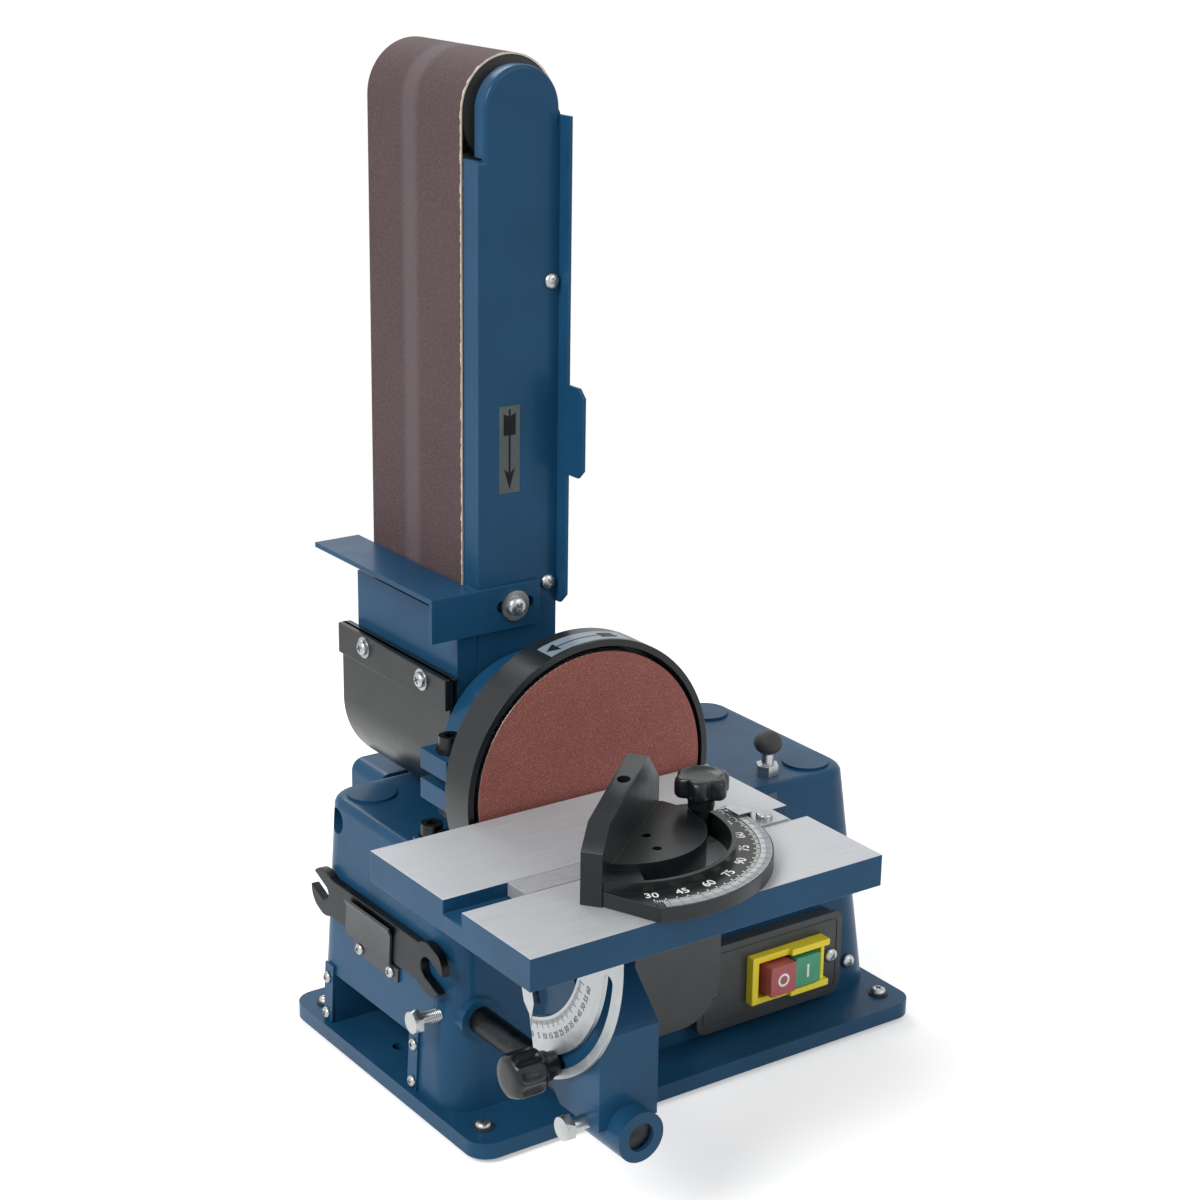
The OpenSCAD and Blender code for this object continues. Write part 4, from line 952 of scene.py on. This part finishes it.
count = set_screws("panel_screws", 5, 6, "front")
count += set_screws("foot_screws", 5, 7.5, "up")
count += set_screws("side_screws", 4, 6, "wall")
count += set_screws("cover_screws", 4, 34, "back")
count += set_screws("disc_guard_screws", 5, 10, "front")
count += set_screws("arm_screws", 5, 6, "front", pick=lambda point: point.x > SIDE_SCREWS_BEFORE)
count += set_screws("arm_screws", 5, 11, "left", pick=lambda point: point.x < SIDE_SCREWS_BEFORE,
                    washer=6.5, thick=1.0, extra="_left", proud=BAND_OUT)
count += set_screws("stop_bolt", 6, 9, "front", washer=9.0, thick=1.8)
print("screws:", count)

# %% [markdown]
# ## Washers of the feet
# The rubber washers under the foot screws are narrower than the solids say. Their hole and their
# thickness are right, so the solid is kept and only the points of the outer rim move inwards.

# %% Narrower rubber washers
WASHER_SHARE = 0.72
RIM_SHARE = 0.8
washers = clean_copy("foot_washers")
centres = [sum(group, Vector()) / len(group) for group in islands("foot_washers")]


def from_middle(vert):
    """Level way from the middle of the nearest washer to a point."""
    middle = min(centres, key=lambda centre: (centre - vert.co).length)
    return Vector((vert.co.x - middle.x, vert.co.y - middle.y, 0))


outer = max(from_middle(vert).length for vert in washers.verts)
for vert in washers.verts:
    offset = from_middle(vert)
    if offset.length > RIM_SHARE * outer:
        vert.co -= offset * (1 - WASHER_SHARE)
smooth(show("foot_washers_piece", washers, RUBBER, "base", "foot_washers"))
print("washers:", len(centres), "of radius", round(outer * WASHER_SHARE / MM, 1))

# %% [markdown]
# ## Bolt with a visible thread
# The rod's clamp bolt is never screwed fully home, so its thread shows. A thread is a ridge
# that climbs one pitch per turn: the radius of every point follows from its height and its
# angle, so one grid of points makes it without any helix curve.

# %% Thread of the rod's clamp bolt
BOLT = 8.0
HEAD_HIGH = 0.65 * BOLT * MM
CORE_SHARE = 0.78
THREAD_DEEP = 0.75
THREAD_STEP = 1.25
WITHOUT_THREAD = 5.4


def saw(value):
    """Triangle wave from 0 to 1 and back over each whole number."""
    return 1 - abs(2 * (value - math.floor(value)) - 1)


def threaded(length_mm, crest_mm, depth_mm, pitch_mm, steps=24, per_pitch=6):
    """Threaded shank from z = 0 downwards."""
    def climbing(height):
        return lambda part: crest_mm - depth_mm * saw(height / pitch_mm - part)

    rows = int(length_mm / pitch_mm * per_pitch)
    heights = [-length_mm * k / rows for k in range(rows + 1)]
    return skinned([(climbing(height), height) for height in heights], steps)


def stand_along(out, at):
    """Matrix that turns +Z into a direction and moves the result to a place."""
    turn = Vector(out).to_track_quat("Z", "Y").to_matrix().to_4x4()
    return Matrix.Translation(at) @ turn


lo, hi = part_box("rod_clamp_bolt")
bolt_axis = Vector((0, (lo.y + hi.y) / 2, (lo.z + hi.z) / 2))
shank = clean_copy("rod_clamp_bolt")
for vert in shank.verts:
    if vert.co.x > lo.x + HEAD_HIGH + 0.1 * MM:
        offset = vert.co - bolt_axis
        vert.co.y = bolt_axis.y + offset.y * CORE_SHARE
        vert.co.z = bolt_axis.z + offset.z * CORE_SHARE
bolt = show("rod_clamp_bolt_piece", shank, ZINC, "base", "rod_clamp_bolt")
smooth(bolt, 30)
bevel(bolt, "edge radius", 0.3, 1, "ANGLE")
thread = threaded((hi.x - lo.x) / MM - WITHOUT_THREAD, BOLT / 2, THREAD_DEEP, THREAD_STEP)
placed(thread, stand_along((-1, 0, 0), (lo.x + HEAD_HIGH, bolt_axis.y, bolt_axis.z)))
thread_piece = show("rod_clamp_bolt_thread", thread, ZINC, "base")
smooth(thread_piece, 60)
print("thread faces:", len(thread_piece.data.polygons))

# %% [markdown]
# ## Arm bumper
# The lowered arm lands on a rubber ball, a little flattened, on a plain zinc neck. A sphere and
# a cylinder would do, but a profile holds the flattening and both heights in one place, so ball
# and neck are turned from theirs.

# %% Ball and neck of the bumper
BALL_WIDE = 9.0
BALL_HIGH = 7.6
NECK_RADIUS = 4.0
lo, hi = box_mm("stop_bumper")
middle = (lo + hi) / 2
rounds = [math.radians(degrees) for degrees in range(-84, 85, 8)]
ball = turned([(BALL_WIDE * math.cos(way), BALL_HIGH * math.sin(way)) for way in rounds])
placed(ball, Matrix.Translation(Vector((middle.x, middle.y, hi.z - BALL_HIGH)) * MM))
smooth(show("stop_bumper_piece", ball, RUBBER, "base", "stop_bumper"), 60)
neck = turned([(NECK_RADIUS, lo.z - 0.1), (NECK_RADIUS, hi.z - 2 * BALL_HIGH + 0.6)])
placed(neck, Matrix.Translation(Vector((middle.x, middle.y, 0)) * MM))
smooth(show("stop_bumper_neck", neck, ZINC, "base"), 40)
print("bumper top", round(hi.z, 1))

# %% [markdown]
# ## Knobs
# A moulded knob is a turned body with hollows for the fingers. Its radius is the profile's
# radius, made smaller by a dip that repeats round the axis, so one formula shapes each knob.

# %% Knobs from a profile and a dip
def dips(angle, count, narrow):
    """0 on the crest of a lobe, 1 in the middle of a hollow."""
    return (0.5 - 0.5 * math.cos(count * angle)) ** narrow


def knob(node, profile, at, out, dip, steps=144):
    """Skin a profile of (radius, height, share of the dip) points."""
    def dipping(radius, share):
        return lambda part: radius * (1 - share * dip(2 * math.pi * part))

    rows = [(dipping(radius, share), height) for radius, height, share in profile]
    form = placed(skinned(rows, steps), stand_along(out, at))
    smooth(show(node + "_piece", form, PITCH, BODY_OF[node], node), 50)


MITRE_KNOB = [
    (4.0, -6.2, 0), (4.0, 17.6, 0), (7.2, 17.6, 0.05), (7.6, 18.4, 0.08), (7.6, 22.0, 0.10),
    (8.4, 24.0, 0.14), (11.5, 25.2, 0.22), (14.4, 25.8, 0.27), (15.4, 27.2, 0.27),
    (15.5, 30.0, 0.26), (15.5, 33.0, 0.24), (15.1, 35.0, 0.20), (14.0, 36.4, 0.13),
    (12.2, 37.0, 0.04), (10.6, 36.7, 0), (9.6, 35.9, 0), (5.0, 35.6, 0), (0.6, 35.5, 0)]
TILT_KNOB = [
    (3.0, -19.9, 0), (3.0, 0.05, 0), (6.8, 0.05, 0), (7.0, 0.6, 0), (7.0, 5.0, 0), (8.4, 5.2, 0),
    (8.6, 6.0, 0), (8.6, 9.8, 0), (11.2, 10.6, 0.01), (12.3, 12.0, 0.02), (12.8, 13.2, 0.04),
    (12.95, 14.4, 0.14), (13.0, 15.6, 0.19), (13.0, 24.6, 0.19), (12.8, 26.4, 0.14),
    (12.3, 27.8, 0.04), (11.2, 29.4, 0.01), (8.8, 30.5, 0), (5.0, 30.95, 0), (0.5, 31.0, 0)]
TRACKING_KNOB = [
    (4.0, -5.2, 0), (4.0, 0.4, 0), (11.6, 0.4, 0.16), (12.7, 1.4, 0.18), (13.0, 3.0, 0.18),
    (13.0, 12.0, 0.18), (12.5, 14.4, 0.14), (11.0, 15.7, 0.06), (8.0, 16.0, 0), (0.5, 16.0, 0)]
FIRST_LOBE = math.radians(15)

lo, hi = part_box("mitre_knob")
middle = (lo + hi) / 2
knob("mitre_knob", MITRE_KNOB, (middle.x, middle.y, hi.z - 37 * MM), (0, 0, 1),
     lambda angle: dips(angle + FIRST_LOBE, 6, 1.6))
lo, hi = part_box("tilt_knob")
middle = (lo + hi) / 2
knob("tilt_knob", TILT_KNOB, (lo.x + 31 * MM, middle.y, middle.z), (-1, 0, 0),
     lambda angle: dips(angle, 8, 0.7))
lo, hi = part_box("tracking_knob")
middle = (lo + hi) / 2
knob("tracking_knob", TRACKING_KNOB, (middle.x, hi.y - 16 * MM, middle.z), (0, 1, 0),
     lambda angle: dips(angle, 6, 1.4))
print("knobs: 3")

# %% [markdown]
# ## Scales
# The mitre gauge and the table's quadrant carry printed marks. A mark repeats every degree or
# every few degrees on a circle, which is a rule, so a Geometry Nodes tree lays them: point
# number n goes to the first angle plus n steps, and a small bar is put there, turned outwards.

# %% Tree that lays marks on an arc
MARK_THICK = 0.06


def mark_tree():
    """A row of small bars on an arc round Z."""
    sizes = [(label, "Float") for label in ("Radius", "First angle", "Step", "Length", "Width")]
    tree, given = new_tree("marks on an arc", [*sizes, ("Count", "Int"), ("Finish", "Material")])
    row = add(tree, "GeometryNodeMeshLine", links=[("Count", given["Count"])])
    index = add(tree, "GeometryNodeInputIndex").outputs[0]
    steps_on = math_node(tree, "MULTIPLY", index, given["Step"])
    angle = math_node(tree, "ADD", steps_on, given["First angle"])
    unit = add(tree, "ShaderNodeCombineXYZ", links=[
        ("X", math_node(tree, "COSINE", angle)), ("Y", math_node(tree, "SINE", angle))]).outputs[0]
    place = add(tree, "ShaderNodeVectorMath", operation="SCALE",
                links=[(0, unit), ("Scale", given["Radius"])]).outputs[0]
    moved = add(tree, "GeometryNodeSetPosition",
                links=[("Geometry", row.outputs[0]), ("Position", place)])
    size = add(tree, "ShaderNodeCombineXYZ", links=[("X", given["Length"]), ("Y", given["Width"])],
               Z=MARK_THICK * MM)
    bar = add(tree, "GeometryNodeMeshCube", links=[("Size", size.outputs[0])])
    turn = add(tree, "FunctionNodeAxisAngleToRotation", links=[("Angle", angle)], Axis=(0, 0, 1))
    copies_on(tree, moved.outputs[0], bar.outputs[0], turn.outputs[0], given["Finish"])
    return tree


MARKS = mark_tree()
print("inputs of the tree:", [item.name for item in MARKS.interface.items_tree])


# %% Marks and printed words
def marks(name, body, where, finish, radius, first, step, count, length, width):
    """Lay marks on an arc and place them by a matrix. Sizes in millimetres and degrees."""
    form = run_tree(MARKS, bpy.data.meshes.new("marks"), name, {
        "Radius": radius * MM, "First angle": math.radians(first), "Step": math.radians(step),
        "Length": length * MM, "Width": width * MM, "Count": count, "Finish": finish})
    show(name, placed(form, where), finish, body)


def letters(name, words, finish, body):
    """Flat printed words. Each is (text, height in mm, matrix)."""
    form = bmesh.new()
    for text, high, where in words:
        curve = bpy.data.curves.new("word", "FONT")
        curve.body = text
        curve.size = high * MM
        curve.align_x = "CENTER"
        curve.align_y = "CENTER"
        curve.extrude = 0.03 * MM
        curve.offset = 0.012 * high * MM
        holder = linked("word", curve)
        mesh = baked(holder, "word")
        mesh.transform(where)
        form.from_mesh(mesh)
        discard(holder)
    show(name, form, finish, body)


# %% Numbers and marks of the mitre gauge
# The head is turned against its bar. The numbers and the white marks sit on its lower ring.
SCALE_MIDDLE = math.radians(-52.3)
SWING_AXIS = Vector((-120, -181.25)) * MM
NUMBER_RADIUS = 64.4
NUMBER_HIGH = 7.6
PRINT_LIFT = 0.05 * MM
lo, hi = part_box("mitre_scale")


def on_gauge(z):
    """Matrix of the scale's middle line at a height."""
    at = Matrix.Translation((SWING_AXIS.x, SWING_AXIS.y, z + PRINT_LIFT))
    return at @ Matrix.Rotation(SCALE_MIDDLE, 4, "Z")


def number_at(radius_mm, way):
    """Matrix of a number that stands on a radius and is read from outside."""
    out = Vector((radius_mm * math.cos(way), radius_mm * math.sin(way), 0)) * MM
    return Matrix.Translation(out) @ Matrix.Rotation(way + math.pi / 2, 4, "Z")


marks("mitre_fine_marks", "mitre_head", on_gauge(hi.z), LABEL, 77.2, -60, 1, 121, 3.2, 0.28)
marks("mitre_long_marks", "mitre_head", on_gauge(hi.z), LABEL, 76.2, -60, 5, 25, 5.2, 0.42)
marks("mitre_white_marks", "mitre_head", on_gauge(lo.z), WHITE, 71.6, -60, 1, 121, 2.0, 0.4)
marks("mitre_white_long_marks", "mitre_head", on_gauge(lo.z), WHITE, 70.9, -60, 5, 25, 3.4, 0.55)
words = []
for step in range(-4, 5):
    place = on_gauge(lo.z) @ number_at(NUMBER_RADIUS, math.radians(15 * step))
    words.append((str(90 - 15 * abs(step)), NUMBER_HIGH, place))
letters("mitre_numbers", words, WHITE, "mitre_head")
print("numbers:", len(words))

# %% Numbers and marks of the tilt quadrant
FIRST_DEGREE = -77
SMALL_NUMBER_RADIUS = 70.5
SMALL_NUMBER_HIGH = 4.6
TILT_AXIS = Vector((0, -142, 174)) * MM
plate_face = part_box("tilt_quadrant")[0].x - PRINT_LIFT
side = Matrix(((0, 0, -1, plate_face), (-1, 0, 0, TILT_AXIS.y), (0, 1, 0, TILT_AXIS.z), (0, 0, 0, 1)))
marks("quadrant_marks", "table", side, LABEL, 63.0, FIRST_DEGREE, 1.0, 61, 2.4, 0.25)
marks("quadrant_long_marks", "table", side, LABEL, 64.0, FIRST_DEGREE, 5.0, 13, 4.4, 0.4)
words = []
for degree in range(0, 61, 5):
    place = side @ number_at(SMALL_NUMBER_RADIUS, math.radians(FIRST_DEGREE + degree))
    words.append((str(degree), SMALL_NUMBER_HIGH, place))
letters("quadrant_numbers", words, LABEL, "table")
print("quadrant numbers:", len(words))

# %% [markdown]
# ## Printed plates
# The switch keys carry the usual circle and stroke. The arm, the ring and the housing carry
# small label plates: an arrow shows the way of the belt and of the disc, and the plates are
# otherwise left bare. An image could carry a sign, but a thin flat mesh has sharp edges at any
# distance. It is laid a small step above its ground, so it can't flicker against it.

# %% Signs on the keys
def flat(name, finish, body, outline, where, thick=0.06):
    """A thin plate from an outline of (x, y) points in millimetres."""
    form = pulled([(x, y, 0) for x, y in outline], (0, 0, thick))
    show(name, placed(form, where), finish, body)


def plate_corners(wide, high):
    """Corners of a rectangle round its middle."""
    x, y = wide / 2, high / 2
    return [(-x, -y), (x, -y), (x, y), (-x, y)]


def facing_front(x, y, z):
    """Matrix for a sign that is read from the front."""
    return Matrix(((1, 0, 0, x), (0, 0, -1, y), (0, 1, 0, z), (0, 0, 0, 1)))


def key_front(node):
    """Matrix for a sign in the middle of a key's front."""
    lo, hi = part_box(node)
    return facing_front((lo.x + hi.x) / 2, lo.y - PRINT_LIFT, (lo.z + hi.z) / 2)


RING_OUT = 4.4
RING_IN = 2.9
TURNS = 48
form = bmesh.new()
rounds = [2 * math.pi * i / TURNS for i in range(TURNS)]
rings = [[form.verts.new(Vector((math.cos(way), math.sin(way), 0)) * radius * MM) for way in rounds]
         for radius in (RING_IN, RING_OUT)]
for i in range(TURNS):
    j = (i + 1) % TURNS
    form.faces.new((rings[0][i], rings[1][i], rings[1][j], rings[0][j]))
show("off_sign", placed(form, key_front("off_button")), WHITE, "off_button")
flat("on_sign", WHITE, "on_button", plate_corners(1.6, 8.8), key_front("on_button"))
print("signs: 2")

# %% Label plates
LABEL_X = -89.4
LABEL_Z = 391
LABEL_THICK = 0.15
HALF_ARROW = [
    (0.6, 23.2), (0.6, 19.2), (4.0, 21.0), (4.0, 9.0), (3.2, 8.3), (0.6, 8.3), (0.6, -13.5),
    (3.6, -10.9)]
ARROW = HALF_ARROW + [(0, -23)] + [(-x, y) for x, y in reversed(HALF_ARROW)]
plate = facing_front(LABEL_X * MM, (ARM_FRONT - 0.02) * MM, LABEL_Z * MM)
flat("arm_label", GREY_FOIL, "belt_arm", plate_corners(13.8, 50.4), plate, LABEL_THICK)
sign = facing_front(LABEL_X * MM, (ARM_FRONT - 0.22) * MM, LABEL_Z * MM)
flat("arm_arrow", PRINT, "belt_arm", ARROW, sign)
leaning = Matrix.Rotation(math.pi / 2 - FRONT_LEAN, 4, "X")
wall = Matrix.Translation(Vector((77, -61.43, 150)) * MM) @ leaning
flat("housing_label", LABEL, "base", plate_corners(16, 13), wall, LABEL_THICK)
print("flat labels: 2")

# %% [markdown]
# ## Label on the disc guard
# The guard's rim is round, so its label is bent round it, as a real film is. A flat plate
# could be bent by a modifier, but here each point is drawn as an angle and a depth and then
# put on the circle, which keeps the arrow's sizes easy to read.

# %% Label on the disc guard
GUARD_X = -80
GUARD_Z = 214
GUARD_RADIUS = 82


def round_guard(form, lift_mm):
    """Bend a flat form, drawn in degrees and in depth, round the disc guard."""
    radius = GUARD_RADIUS + lift_mm
    for vert in form.verts:
        way = math.radians(vert.co.x)
        x = GUARD_X + radius * math.cos(way)
        z = GUARD_Z + radius * math.sin(way)
        vert.co = Vector((x, vert.co.y, z)) * MM


def ring_label(name, finish, lift_mm, first, last, near, far, steps=40):
    """A strip on the disc guard between two angles and two depths."""
    form = bmesh.new()
    degrees = [first + (last - first) * i / steps for i in range(steps + 1)]
    rows = [[form.verts.new((degree, depth, 0)) for degree in degrees] for depth in (near, far)]
    for i in range(steps):
        form.faces.new((rows[0][i], rows[0][i + 1], rows[1][i + 1], rows[1][i]))
    round_guard(form, lift_mm)
    bmesh.ops.recalc_face_normals(form, faces=form.faces)
    show(name, form, finish, "base")


ring_label("ring_label", SILVER, 0.06, 109, 71, -94.0, -79.5)
ring_label("ring_arrow_shaft", PRINT, 0.12, 104, 74, -87.3, -86.3)
ring_label("ring_arrow_tail", PRINT, 0.14, 83, 76, -90.4, -83.2)
ARROW_HEAD = [(108, -86.8), (103, -91.5), (103, -82.1)]
form = bmesh.new()
form.faces.new([form.verts.new((degree, depth, 0)) for degree, depth in ARROW_HEAD])
bmesh.ops.subdivide_edges(form, edges=form.edges, cuts=4, use_grid_fill=True)
round_guard(form, 0.12)
show("ring_arrow_head", form, PRINT, "base")
print("bent labels: 1")

# %% [markdown]
# ## Edge of the disc
# The disc's backing paper shows as a pale line round its rim. The line could be a second
# material on the disc, but a thin turned ring laid round the rim is simpler and stays even.

# %% Backing paper of the disc
PAPER_THICK = 0.5
PAPER_WIDE = 0.35
lo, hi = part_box("abrasive_disc")
rim_radius = (hi.x - lo.x) / 2 / MM
inner = rim_radius - PAPER_WIDE
profile = [(inner, 0.0), (rim_radius, 0.0), (rim_radius, PAPER_THICK), (inner, PAPER_THICK + 0.05)]
paper = turned(profile, 128)
placed(paper, stand_along((0, -1, 0), ((lo.x + hi.x) / 2, hi.y - 0.1 * MM, (lo.z + hi.z) / 2)))
smooth(show("disc_paper_edge", paper, CARD, "spindle"), 40)
print("disc edge radius", round(rim_radius, 2))

# %% [markdown]
# ## Last checks
# The size of the box round the finished machine is printed in millimetres.

# %% Last checks
lo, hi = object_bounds()
print("size in mm:", [round((b - a) / MM, 1) for a, b in zip(lo, hi)])
